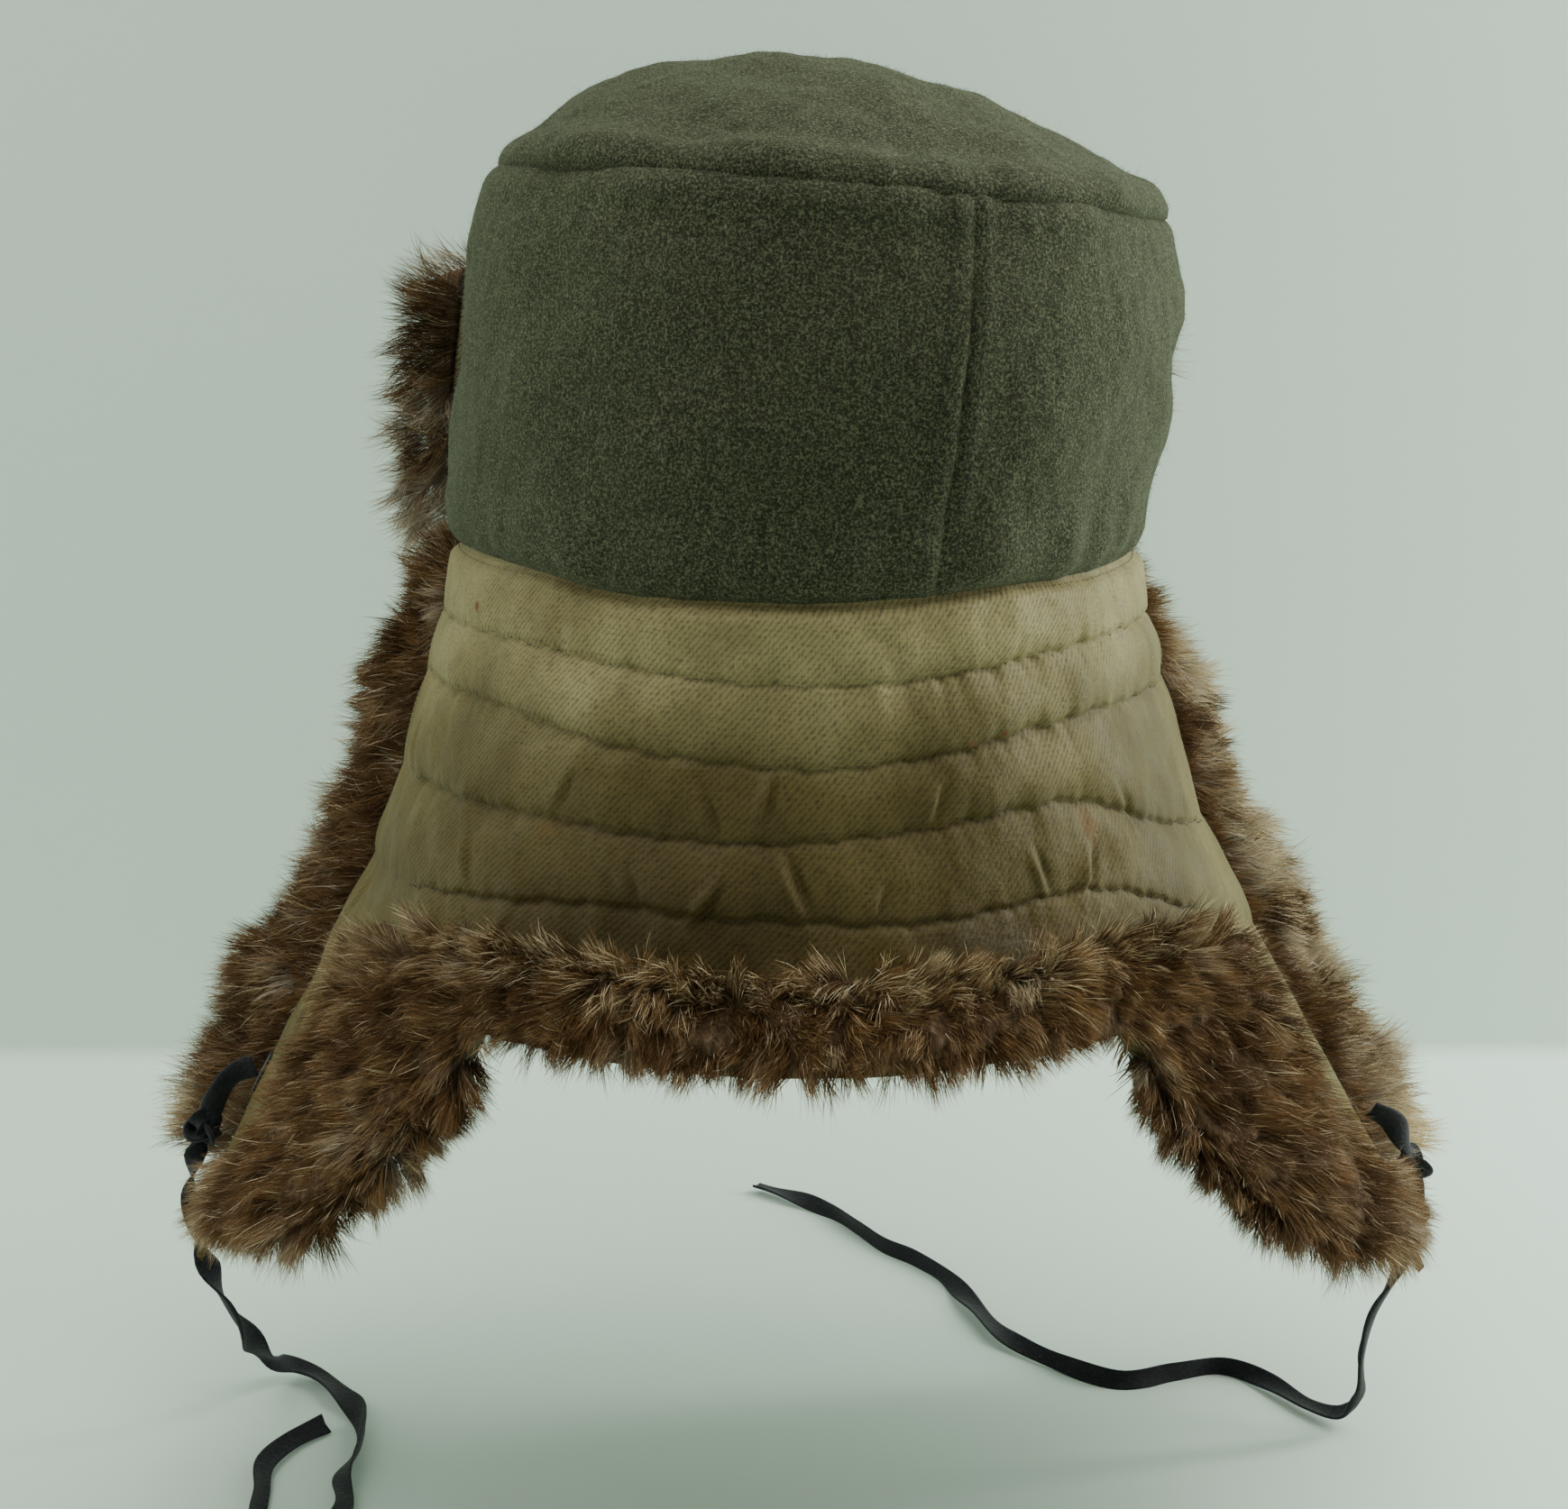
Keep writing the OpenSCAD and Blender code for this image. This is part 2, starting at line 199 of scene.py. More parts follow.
def waves(p, size, seed, count=20):
    """A smooth random field of about -1 to 1 over points p, with features of the given size."""
    rng = np.random.default_rng(seed)
    k = rng.normal(size=(count, 3))
    k *= (2 * np.pi / size * rng.uniform(0.5, 1.5, (count, 1))
          / np.linalg.norm(k, axis=1, keepdims=True))
    phase = rng.uniform(0, 2 * np.pi, count)
    return np.sin(p @ k.T + phase).sum(-1) * 1.1 / math.sqrt(count)


def pair_seed(seed, side):
    """One seed for the left ear flap and another for the right."""
    return seed if side == "left" else seed + 10


# ---- mesh building ----

def build(name, verts, faces, material, uv=None, sharp=None):
    """A mesh object from points in mm and an array of equal-sided faces."""
    faces = np.asarray(faces, np.int32)
    count, sides = faces.shape
    mesh = bpy.data.meshes.new(name)
    mesh.vertices.add(len(verts))
    mesh.vertices.foreach_set("co", (np.asarray(verts, np.float64) * MM).astype(np.float32).ravel())
    mesh.loops.add(count * sides)
    mesh.loops.foreach_set("vertex_index", faces.ravel())
    mesh.polygons.add(count)
    mesh.polygons.foreach_set("loop_start", np.arange(count, dtype=np.int32) * sides)
    mesh.update(calc_edges=True)
    mesh.polygons.foreach_set("use_smooth", np.ones(count, bool))
    if uv is not None:
        layer = mesh.uv_layers.new(name="OFBake")
        layer.data.foreach_set("uv", uv[faces.ravel()].astype(np.float32).ravel())
    if sharp is not None:
        ends = np.zeros(len(mesh.edges) * 2, np.int32)
        mesh.edges.foreach_get("vertices", ends)
        ends = ends.reshape(-1, 2)
        flags = sharp[ends[:, 0]] & sharp[ends[:, 1]]
        mesh.attributes.new("sharp_edge", "BOOLEAN", "EDGE")
        mesh.attributes["sharp_edge"].data.foreach_set("value", flags)
    mesh.materials.append(material)
    piece = bpy.data.objects.new(name, mesh)
    bpy.context.scene.collection.objects.link(piece)
    return piece


def attach(piece, body, slot, *nodes):
    """Rides a piece on its body and hides the CAD nodes that it stands for. slot is not used."""
    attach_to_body(piece, body)
    if nodes:
        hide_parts(*nodes)


def grid_quads(m, n, start=0, turned=False, closed=False):
    """Quads between m rows of n points, whose rows may be closed rings."""
    j, i = np.meshgrid(np.arange(m - 1), np.arange(n if closed else n - 1), indexing="ij")
    a = start + j * n + i
    b = start + j * n + (i + 1) % n
    quads = np.stack([a, b, b + n, a + n], -1).reshape(-1, 4)
    return quads[:, ::-1] if turned else quads


def strip(ids, step):
    """Quads between a row of points and the points that come step later."""
    a, b = ids[:-1], ids[1:]
    return np.stack([a, b, b + step, a + step], -1)


def sheet(a0, a1, cols, z0, z1, rows):
    """Azimuths and heights of a grid of points."""
    return together(np.linspace(a0, a1, cols)[None, :], np.linspace(z0, z1, rows)[:, None])


def shell(name, outer, inner, material, closed=False, crease=True):
    """A closed sheet between an outer and an inner grid of points, each (rows, columns, 3)."""
    m, n = outer.shape[:2]
    s = m * n
    quads = [grid_quads(m, n, 0, True, closed), grid_quads(m, n, s, False, closed)]
    row = np.arange(n + 1) % n if closed else np.arange(n)
    quads += [strip(row, s), strip((m - 1) * n + row[::-1], s)]
    if not closed:
        col = np.arange(m) * n
        quads += [strip(col[::-1], s), strip(col + n - 1, s)]
    border = np.zeros((m, n), bool)
    border[[0, -1], :] = True
    if not closed:
        border[:, [0, -1]] = True
    sharp = np.tile(border.ravel(), 2) if crease else None
    return build(name, np.concatenate([outer.reshape(-1, 3), inner.reshape(-1, 3)]),
                 np.concatenate(quads), material, sharp=sharp)


# ---- materials ----

class Nodes:
    """Short calls for building one material's node tree."""

    def __init__(self, name):
        self.material = bpy.data.materials.new(name)
        self.material.use_nodes = True
        self.tree = self.material.node_tree
        self.shader = self.tree.nodes["Principled BSDF"]

    def put(self, socket, value):
        """Links a node's output to a socket, or sets the socket to a number or a colour."""
        if isinstance(value, bpy.types.NodeSocket):
            self.tree.links.new(value, socket)
        elif value is not None:
            socket.default_value = (*value, 1) if socket.type == "RGBA" else value

    def add(self, kind, sockets=(), **values):
        """A node with its properties set and its sockets linked or set."""
        node = self.tree.nodes.new("ShaderNode" + kind)
        for key, value in values.items():
            setattr(node, key, value)
        for key, value in dict(sockets).items():
            self.put(node.inputs[key], value)
        return node

    def place(self):
        """Where a point is on the object, in metres."""
        return self.add("TexCoord").outputs["Object"]

    def split(self, vector):
        return self.add("SeparateXYZ", {0: vector}).outputs

    def coords(self, scale=(1, 1, 1), source=None):
        source = self.place() if source is None else source
        return self.add("Mapping", {"Scale": scale, "Vector": source}).outputs["Vector"]

    def noise(self, scale, detail=3.0, vector=None, rough=0.55, distortion=0.0):
        vector = self.coords() if vector is None else vector
        return self.add("TexNoise", {"Scale": scale, "Detail": detail, "Roughness": rough,
                                     "Distortion": distortion, "Vector": vector}).outputs["Fac"]

    def ramp(self, value, stops):
        node = self.add("ValToRGB", {"Fac": value})
        elements = node.color_ramp.elements
        while len(elements) < len(stops):
            elements.new(0.5)
        for element, (place, colour) in zip(elements, stops):
            element.position = place
            element.color = (*np.broadcast_to(colour, 3), 1)
        return node.outputs["Color"]

    def mix(self, factor, a, b, mode="MIX"):
        return self.add("Mix", {0: factor, 6: a, 7: b}, data_type="RGBA",
                        blend_type=mode).outputs[2]

    def math(self, operation, a, b=None):
        return self.add("Math", {0: a, 1: b}, operation=operation).outputs[0]

    def times(self, a, b):
        return self.math("MULTIPLY", a, b)

    def blot(self, colour, field, low, high, amount, shade):
        """Lays an amount of shade over colour where field rises from low to high."""
        mask = self.ramp(field, [(low, 0.0), (high, 1.0)])
        return self.mix(self.times(mask, amount), colour, shade)

    def around(self, radius):
        """Cloth coordinates: distance round the cap and height, in metres."""
        x, y, z = self.split(self.place())
        turn = self.times(self.math("ARCTAN2", x, y), radius)
        return self.add("CombineXYZ", {0: turn, 1: z}).outputs[0]

    def spot(self, centre, radius):
        """1 near a point on the object, fading to 0 over a ragged edge. All in metres."""
        away = self.add("VectorMath", {0: self.place(), 1: centre}, operation="DISTANCE")
        ragged = self.math("ADD", away.outputs["Value"], self.times(self.noise(900, 3), radius))
        return self.ramp(self.math("DIVIDE", ragged, 3 * radius), [(0.35, 1.0), (0.55, 0.0)])

    def soiling_and_painted_light(self):
        """The curtain's darkening, which deepens below its top band and away from its sides: partly
        soiling, partly painted shade, with painted light where the side lamps fall.
        """
        x, _, z = self.split(self.place())
        cloud = self.times(self.math("SUBTRACT", self.noise(20, 3), 0.5), 0.05)
        # Soiling and painted shade: darker with depth below the top band.
        low = self.ramp(self.times(self.math("ADD", z, cloud), -10),
                        [(0.12, (1.0, 1.0, 1.0)), (0.42, (0.36, 0.32, 0.21)),
                         (0.8, (0.23, 0.19, 0.1))])
        # Painted light: towards the sides, where the side lamps fall, the tone is evened out and
        # the deeper rows lifted.
        side = self.ramp(self.times(self.math("ABSOLUTE", x), 5.0), [(0.3, 0.0), (0.62, 1.0)])
        return self.mix(self.times(side, 0.45), low, (0.72, 0.66, 0.44))

    def bump(self, height, strength, distance, after=None):
        return self.add("Bump", {"Strength": strength, "Distance": distance, "Height": height,
                                 "Normal": after}).outputs["Normal"]

    def hide_back(self):
        """Makes the surface's back clear, so that it hides nothing in views from behind."""
        back = self.add("NewGeometry").outputs["Backfacing"]
        clear = self.add("BsdfTransparent").outputs[0]
        mix = self.add("MixShader", {0: back, 1: self.shader.outputs[0], 2: clear})
        self.put(self.tree.nodes["Material Output"].inputs["Surface"], mix.outputs[0])

    def finish(self, colour, roughness, normal=None, **sockets):
        sockets.update(Base_Color=colour, Roughness=roughness, Normal=normal)
        for name, value in sockets.items():
            self.put(self.shader.inputs[name.replace("_", " ")], value)
        return self.material


def wool_material():
    """Felted field-grey wool: mottled dark and pale fibres."""
    n = Nodes("wool")
    patches = n.ramp(n.noise(30, 3), [(0.3, (0.022, 0.024, 0.012)), (0.7, (0.046, 0.05, 0.026))])
    heather = n.ramp(n.noise(1500, 5, rough=0.8),
                     [(0.41, (0.004, 0.005, 0.0025)), (0.5, (0.024, 0.026, 0.0125)),
                      (0.6, (0.16, 0.17, 0.095))])
    colour = n.mix(0.72, patches, heather)
    hairs = n.noise(1300, 2, n.coords((1, 0.3, 0.25)), 0.6, 1.5)
    colour = n.blot(colour, hairs, 0.64, 0.72, 0.4, (0.23, 0.24, 0.17))
    felt = n.bump(n.noise(1100, 5, rough=0.75), 0.6, 0.0008)
    felt = n.bump(n.noise(160, 4), 0.35, 0.0012, felt)
    return n.finish(colour, 0.94, felt, Sheen_Weight=0.1, Sheen_Roughness=0.5,
                    Sheen_Tint=(0.9, 1.0, 0.6), Specular_IOR_Level=0.15)


RUST = (0.13, 0.045, 0.012)
# Spots on the cotton: azimuth, drop, radius and colour. The dark one is painted shade that stands
# for a small hole.
SPOTS = ((-22, 33, 1.3, RUST), (-20.5, 35, 0.8, RUST), (-27, 31, 0.9, RUST), (58, 8, 1.6, RUST),
         (-79, 163, 1.6, (0.012, 0.011, 0.008)))


def cotton_material():
    """Aged olive-beige cotton with a fine diagonal weave, stains, painted shade and light on its
    rows, and a slight sheen.
    """
    n = Nodes("cotton")
    cloth = n.around(0.13)
    warp = n.noise(1.0, 2, n.coords((1800, 260, 1), cloth))
    weft = n.noise(1.0, 2, n.coords((260, 1500, 1), cloth))
    twill = n.add("TexWave", {"Scale": 330, "Distortion": 1.0, "Detail Scale": 3,
                              "Vector": cloth}, wave_type="BANDS", bands_direction="DIAGONAL")
    weave = n.math("ADD", n.times(n.math("ADD", warp, weft), 0.45),
                   n.times(twill.outputs["Fac"], 0.2))
    tone = n.ramp(n.noise(19, 4), [(0.3, (0.18, 0.148, 0.06)), (0.5, (0.255, 0.22, 0.1)),
                                   (0.72, (0.33, 0.29, 0.148))])
    threads = n.ramp(weave, [(0.35, (0.3, 0.3, 0.3)), (0.6, (1.15, 1.14, 1.12))])
    colour = n.mix(0.75, tone, threads, "MULTIPLY")
    # Soiling, painted shade below the top band, and painted light towards the sides.
    colour = n.mix(1.0, colour, n.soiling_and_painted_light(), "MULTIPLY")
    colour = n.blot(colour, n.noise(48, 5, rough=0.65), 0.5, 0.75, 0.4, (0.07, 0.05, 0.019))
    colour = n.blot(colour, n.noise(33, 1), 0.7, 0.76, 0.4, (0.17, 0.075, 0.022))
    for azimuth, drop, radius, shade in SPOTS:
        colour = n.mix(n.spot(tuple(wall(azimuth, -drop, 2.0) * MM), radius * MM), colour, shade)
    normal = n.bump(weave, 0.5, 0.0004)
    normal = n.bump(n.noise(110, 5), 0.6, 0.0016, normal)
    rough = n.ramp(n.noise(90, 3), [(0.3, 0.5), (0.7, 0.68)])
    return n.finish(colour, rough, normal, Sheen_Weight=0.05, Sheen_Roughness=0.4,
                    Sheen_Tint=(1.0, 0.95, 0.6), Specular_IOR_Level=0.16)


def fur_material():
    """Rabbit hair: the strand's tint runs along the first coordinate, root to tip the second."""
    n = Nodes("fur")
    tint, along, _ = n.split(n.add("UVMap", uv_map="OFBake").outputs["UV"])
    root = n.ramp(tint, [(0.0, (0.035, 0.02, 0.009)), (0.3, (0.08, 0.045, 0.02)),
                         (0.6, (0.17, 0.145, 0.12)), (0.8, (0.25, 0.235, 0.2)),
                         (1.0, (0.46, 0.35, 0.19))])
    tip = n.ramp(tint, [(0.0, (0.1, 0.05, 0.018)), (0.3, (0.25, 0.13, 0.044)),
                        (0.6, (0.42, 0.31, 0.18)), (0.8, (0.64, 0.57, 0.44)),
                        (1.0, (0.85, 0.7, 0.42))])
    blend = n.ramp(along, [(0.15, 0.0), (0.85, 1.0)])
    colour = n.mix(blend, root, tip)
    return n.finish(colour, 0.6, None, Specular_IOR_Level=0.22)


def underfur_material():
    n = Nodes("underfur")
    strands = n.noise(1.0, 4, n.coords((700, 700, 90)), 0.7, 0.6)
    colour = n.ramp(strands, [(0.32, (0.035, 0.021, 0.012)), (0.55, (0.12, 0.07, 0.034)),
                              (0.75, (0.24, 0.17, 0.11))])
    normal = n.bump(strands, 0.8, 0.003)
    return n.finish(colour, 0.85, normal, Specular_IOR_Level=0.15)


def tape_material():
    """Black cotton tape with a fine herringbone rib."""
    n = Nodes("tape")
    rib = n.noise(1.0, 2, n.coords((900, 900, 1500)))
    colour = n.ramp(rib, [(0.3, (0.004, 0.005, 0.006)), (0.6, (0.011, 0.013, 0.015)),
                          (0.85, (0.03, 0.034, 0.038))])
    normal = n.bump(rib, 0.6, 0.0005)
    return n.finish(colour, 0.8, normal, Sheen_Weight=0.12, Specular_IOR_Level=0.25)


def thread_material(name, dark, light):
    n = Nodes(name)
    twist = n.noise(1800, 2)
    return n.finish(n.ramp(twist, [(0.35, dark), (0.7, light)]), 0.75, n.bump(twist, 0.5, 0.0002),
                    Specular_IOR_Level=0.3)


def lining_material():
    n = Nodes("lining")
    cloth = n.around(0.09)
    weave = n.math("ADD", n.noise(1.0, 2, n.coords((1600, 200, 1), cloth)),
                   n.noise(1.0, 2, n.coords((200, 1600, 1), cloth)))
    colour = n.ramp(n.times(weave, 0.5),
                    [(0.35, (0.03, 0.034, 0.024)), (0.6, (0.078, 0.082, 0.06))])
    colour = n.blot(colour, n.noise(22, 4), 0.45, 0.8, 0.4, (0.045, 0.03, 0.016))
    return n.finish(colour, 0.7, n.bump(weave, 0.4, 0.0004), Sheen_Weight=0.15,
                    Specular_IOR_Level=0.3)


def leather_material():
    n = Nodes("sweat_leather")
    grain = n.add("TexVoronoi", {"Scale": 520, "Vector": n.coords()})
    colour = n.ramp(n.noise(40, 5, rough=0.7), [(0.3, (0.045, 0.02, 0.009)),
                                                (0.55, (0.115, 0.055, 0.024)),
                                                (0.8, (0.19, 0.105, 0.052))])
    normal = n.bump(grain.outputs["Distance"], 0.35, 0.0005)
    normal = n.bump(n.noise(80, 4), 0.3, 0.001, normal)
    rough = n.ramp(n.noise(60, 3), [(0.3, 0.42), (0.7, 0.62)])
    return n.finish(colour, rough, normal, Specular_IOR_Level=0.45)


def stage_material(name, clear_back=False):
    """The pale paint of the table and the wall."""
    n = Nodes(name)
    tone = n.ramp(n.noise(2.0, 3), [(0.3, (0.64, 0.765, 0.665)), (0.7, (0.66, 0.785, 0.685))])
    if clear_back:
        n.hide_back()
    return n.finish(tone, 0.9)


WOOL = wool_material()
COTTON = cotton_material()
FUR = fur_material()
UNDERFUR = underfur_material()
TAPE = tape_material()
BLUE_THREAD = thread_material("quilting_thread", (0.012, 0.022, 0.026), (0.05, 0.075, 0.08))
PALE_THREAD = thread_material("sewing_thread", (0.2, 0.27, 0.2), (0.42, 0.5, 0.38))
DARK_THREAD = thread_material("dark_thread", (0.01, 0.014, 0.012), (0.045, 0.055, 0.045))
FIBRE = thread_material("wool_fibre", (0.1, 0.11, 0.075), (0.32, 0.34, 0.25))
LINING = lining_material()
LEATHER = leather_material()


# ---- camera ----

def camera(yaw=2.0, pitch=13.35, roll=0.6, distance=594.0, height=79.5, aside=2.2, lens=47.72):
    """The photograph's view: behind the cap, a little above its hem, looking slightly down."""
    p, t, r = (math.radians(x) for x in (yaw, pitch, roll))
    right = Vector((-math.cos(p), math.sin(p), 0))
    ahead = -Vector((math.sin(p) * math.cos(t), math.cos(p) * math.cos(t), math.sin(t)))
    place = Vector((distance * math.sin(p), distance * math.cos(p), height)) - aside * right
    up = right.cross(ahead)
    across = right * math.cos(r) + up * math.sin(r)
    up = across.cross(ahead)
    data = bpy.data.cameras.new("camera")
    data.lens = lens
    data.sensor_width = 36
    data.clip_start = 0.01
    view = bpy.data.objects.new("camera", data)
    view.matrix_world = Matrix.Translation(place * MM) @ Matrix(
        (across, up, -ahead)).transposed().to_4x4()
    bpy.context.scene.collection.objects.link(view)
    bpy.context.scene.camera = view


camera()

# ---- the ties ----

TIE_W = 7.5
TIE_T = 1.1
# Points along the middle of each tie, from its tab to its free end.
ROUTES = {
    "left": [(157, 18, -151), (165, 18, -156), (173, 17, -171), (178, 18, -191),
             (175, 18, -211), (169, 16, -229), (164, 8, -246), (161, -4, -259),
             (156, -13, -266), (148, -10, -268), (139, 1, -268), (131, 14, -268),
             (129, 30, -268), (131, 46, -268), (128, 62, -268), (132, 77, -268),
             (143, 81, -268), (151, 70, -268), (153, 54, -268), (155, 40, -268),
             (150, 28, -268), (141, 18, -268)],
    "right": [(-174, 19, -166), (-182, 19, -171), (-188, 18, -184), (-189, 20, -200),
              (-186, 22, -215), (-178, 24, -230), (-175, 25, -244), (-176, 24, -257),
              (-172, 20, -266), (-164, 12, -268), (-155, -2, -268), (-143, -12, -268),
              (-126, -8, -268), (-107, -4, -268), (-89, -16, -268), (-74, -33, -268),
              (-66, -55, -268), (-59, -75, -268), (-50, -88, -268), (-40, -98, -268),
              (-31, -112, -268), (-22, -126, -268), (-9, -138, -268), (6, -149, -268)],
}
STEPS = 8
KNOT_AT = 2 * STEPS


def spline(points):
    """A smooth curve through points, with STEPS steps from each to the next."""
    p = np.asarray(points, float)
    p = np.vstack([p[0], p, p[-1]])
    u = np.arange(STEPS)[:, None] / STEPS
    parts = [0.5 * (2 * b + (c - a) * u + (2 * a - 5 * b + 4 * c - d) * u ** 2
                    + (3 * b - a - 3 * c + d) * u ** 3)
             for a, b, c, d in zip(p[:-3], p[1:-2], p[2:-1], p[3:])]
    return np.vstack(parts + [p[-1:]])


def arc_lengths(path):
    """How far along a path each of its points is."""
    return np.concatenate([[0], np.linalg.norm(np.diff(path, axis=0), axis=1).cumsum()])


def frames_along(path):
    """Two side directions that turn as little as possible along a path."""
    ahead = unit(np.gradient(path, axis=0))
    side = np.zeros_like(path)
    s = np.cross(ahead[0], (0, 0, 1.0))
    if np.linalg.norm(s) < 0.1:
        s = np.cross(ahead[0], (0, 1.0, 0))
    for i, t in enumerate(ahead):
        s = unit(s - t * (s @ t))
        side[i] = s
    return side, np.cross(ahead, side)


def tape_profile(count=12, power=0.45):
    """The outline of a tape one wide and one thick, with rounded edges."""
    t = np.arange(count) * 2 * np.pi / count
    return [0.5 * np.sign(f) * np.abs(f) ** power for f in (np.cos(t), np.sin(t))]


def ribbon(name, path, width, thick, turn, curl=0.0):
    """A flat tape swept along a path. width and turn (radians) may vary along it."""
    side, up = frames_along(path)
    u, v = tape_profile()
    m, n = len(path), len(u)
    width = np.broadcast_to(np.asarray(width, float), m)[:, None]
    c, s = np.cos(turn)[:, None], np.sin(turn)[:, None]
    x = u * width
    y = v * thick + curl * (4 * u ** 2 - 0.5) * width
    ring = (path[:, None] + side[:, None] * (x * c - y * s)[..., None]
            + up[:, None] * (x * s + y * c)[..., None])
    quads = grid_quads(m, n, closed=True)
    i = np.arange(n)
    following = (i + 1) % n
    last = (m - 1) * n
    caps = [np.stack([np.full(n, m * n), following, i], -1),
            np.stack([np.full(n, m * n + 1), last + i, last + following], -1)]
    return build(name, np.vstack([ring.reshape(-1, 3), path[0], path[-1]]),
                 np.concatenate([quads[:, [0, 1, 2]], quads[:, [0, 2, 3]]] + caps), TAPE)


def knot(name, centre, direction):
    """A pulled-tight overhand knot in flat tape."""
    t = np.linspace(0, 2 * np.pi, 64)
    x = (np.sin(t) + 2 * np.sin(2 * t)) * 1.55
    y = (np.cos(t) - 2 * np.cos(2 * t)) * 1.45
    z = -np.sin(3 * t) * 2.1
    down = unit(direction)
    side = unit(np.cross(down, (0, 1.0, 0.2)))
    out = np.cross(side, down)
    path = centre + x[:, None] * side + y[:, None] * down + z[:, None] * out
    return ribbon(name, path, 4.4, 1.7, t, curl=0.25)


def tie(side):
    """An ear flap's tie: a tape whose turn and width vary along it, and its knot."""
    path = spline(ROUTES[side])
    s = arc_lengths(path)
    rng = np.random.default_rng(3 if side == "left" else 5)
    lying = smooth(-path[:, 2], 256, 266)
    kinks = sum(rng.uniform(0.4, 1.0) * np.sin(s / rng.uniform(9, 26) + rng.uniform(0, 6))
                for _ in range(5))
    turn = kinks * (1.5 - 1.15 * lying) + (0.9 if side == "left" else 0.3) * (1 - lying)
    width = TIE_W * (0.88 + 0.14 * np.sin(s / 17 + 1.0) * np.sin(s / 7.3)) * (1 - 0.05 * lying)
    tape = ribbon(side + "_tape_tie", path, width, TIE_T, turn, curl=0.16)
    tip = path[KNOT_AT]
    ball = knot(side + "_tape_knot", tip, path[KNOT_AT + 4] - tip)
    attach(tape, BODIES[side], "tape", side + "_tie")
    attach(ball, BODIES[side], "tape", side + "_tie_knot")


for flap in ("left", "right"):
    tie(flap)

# ---- the crown ----

# Azimuths, and the height of the wool's lower edge at each.
HEM_AT = (-180, -67, -46, -27, -13, 5, 26, 43, 70, 180)
HEM_Z = (2, 2.5, 3.0, 2.8, 1.2, -0.1, 0.1, 3.3, 3.0, 2)


def hem_z(a):
    """Height of the wool's lower edge, which dips at the back."""
    a = wrapped(a)
    return np.interp(a, HEM_AT, HEM_Z) + 0.5 * np.sin(np.radians(a) * 9) * bell(a, -20, 50)


def back_seam(z):
    """Azimuth of the side panels' back seam, which leans a little."""
    return BACK_SEAM + 0.7 * (z / RIM_H - 0.5)


def seam_dip(x):
    """A pressed-open seam seen across: a sharp groove between low swells, x mm from it."""
    x = np.abs(x)
    return 0.5 * bell(x, 3.0, 3.2) - 1.2 * bell(x, 0.0, 0.55)


def tucks(a, places):
    """Gathers at the rim: each place is an azimuth, a width in degrees and a depth."""
    return sum(bell(wrapped(a - at), 0, width) * deep for at, width, deep in places)


def wool_relief(a, z):
    """How far the crown's side stands out of its plain shape, in mm."""
    p = around_axis(a, SIDE_R, z)
    h = -1.6 + 1.2 * waves(p, 95, 1) + 0.55 * waves(p, 38, 2) + 0.16 * waves(p, 9, 3)
    near = wrapped(a - back_seam(z)) * math.radians(1) * SIDE_R
    h = h + seam_dip(near) + 0.7 * bell(near, -9, 7) * np.sin(z / 9.5)
    h = h + seam_dip(wrapped(a - 180) * math.radians(1) * SIDE_R)
    hem = np.maximum(0, z - hem_z(a))
    pucker = np.sin(a * 0.62 + 2.3 * np.sin(a * 0.11)) * bell(z, 12, 11)
    h = h + 0.7 * pucker * (0.35 + bell(a, -32, 22)) + 1.8 * bell(hem, 8, 9)
    h = h - 2.2 * smooth(-a, 40, 80) * (1 - smooth(-a, 100, 140)) * (1 - smooth(z, 25, 70))
    h = h - 2.8 * np.exp(-hem / 1.6)
    h = h - 3.0 * bell(a, -78, 10) * bell(z, 58, 9) + 1.2 * bell(a, -86, 9) * bell(z, 78, 9)
    rim = RIM_H - z
    tuck = tucks(a, ((4, 3.0, 1.6), (11, 2.5, 0.7), (-3, 2.2, 0.8), (-60, 5, 0.8),
                     (48, 6, 0.6)))
    return h - tuck * np.exp(-rim / 7.0) - 2.0 * np.exp(-rim / 1.1) + 0.9 * bell(rim, 5, 4)


def crown_side(name, a0, a1, node, waddings):
    """A side panel between two azimuths, with the wool turned under along its hem."""
    cols = int((a1 - a0) * 1.45)
    a = np.linspace(a0, a1, cols)[None, :]
    t = np.linspace(0, 1, 110)[:, None]
    low = hem_z(a)
    z = RIM_H - 0.6 - (RIM_H - 0.6 - low) * t + 0 * a
    outer = wall(a, z, wool_relief(a + 0 * z, z))
    inner = wall(a, np.minimum(z + 0.8 * (t > 0.995), RIM_H - 2), -2.6 + 0 * z)
    tuck = smooth(t, 0.97, 1.0)[..., None]
    inner = inner * (1 - tuck) + tuck * wall(a, z + 1.2, -2.3)
    attach(shell(name, outer, inner, WOOL), "crown", "wool", node, *waddings)


def top_relief(a, r):
    """Height of the top panel's felt over its dome: soft waves, puckers and the seam's roll."""
    p = around_axis(a, r * RIM_R)
    h = 1.0 * waves(p, 80, 11) + 0.6 * waves(p, 34, 12) + 0.15 * waves(p, 9, 13)
    edge = (1 - r) * RIM_R
    tuck = tucks(a, ((4, 4.0, 2.2), (12, 3.0, 0.9), (-20, 4, 1.2), (-60, 6, 1.0), (60, 6, 0.8)))
    return h - tuck * np.exp(-edge / 9.0) - 1.8 * np.exp(-edge / 1.2) + 1.2 * bell(edge, 6, 4.5)


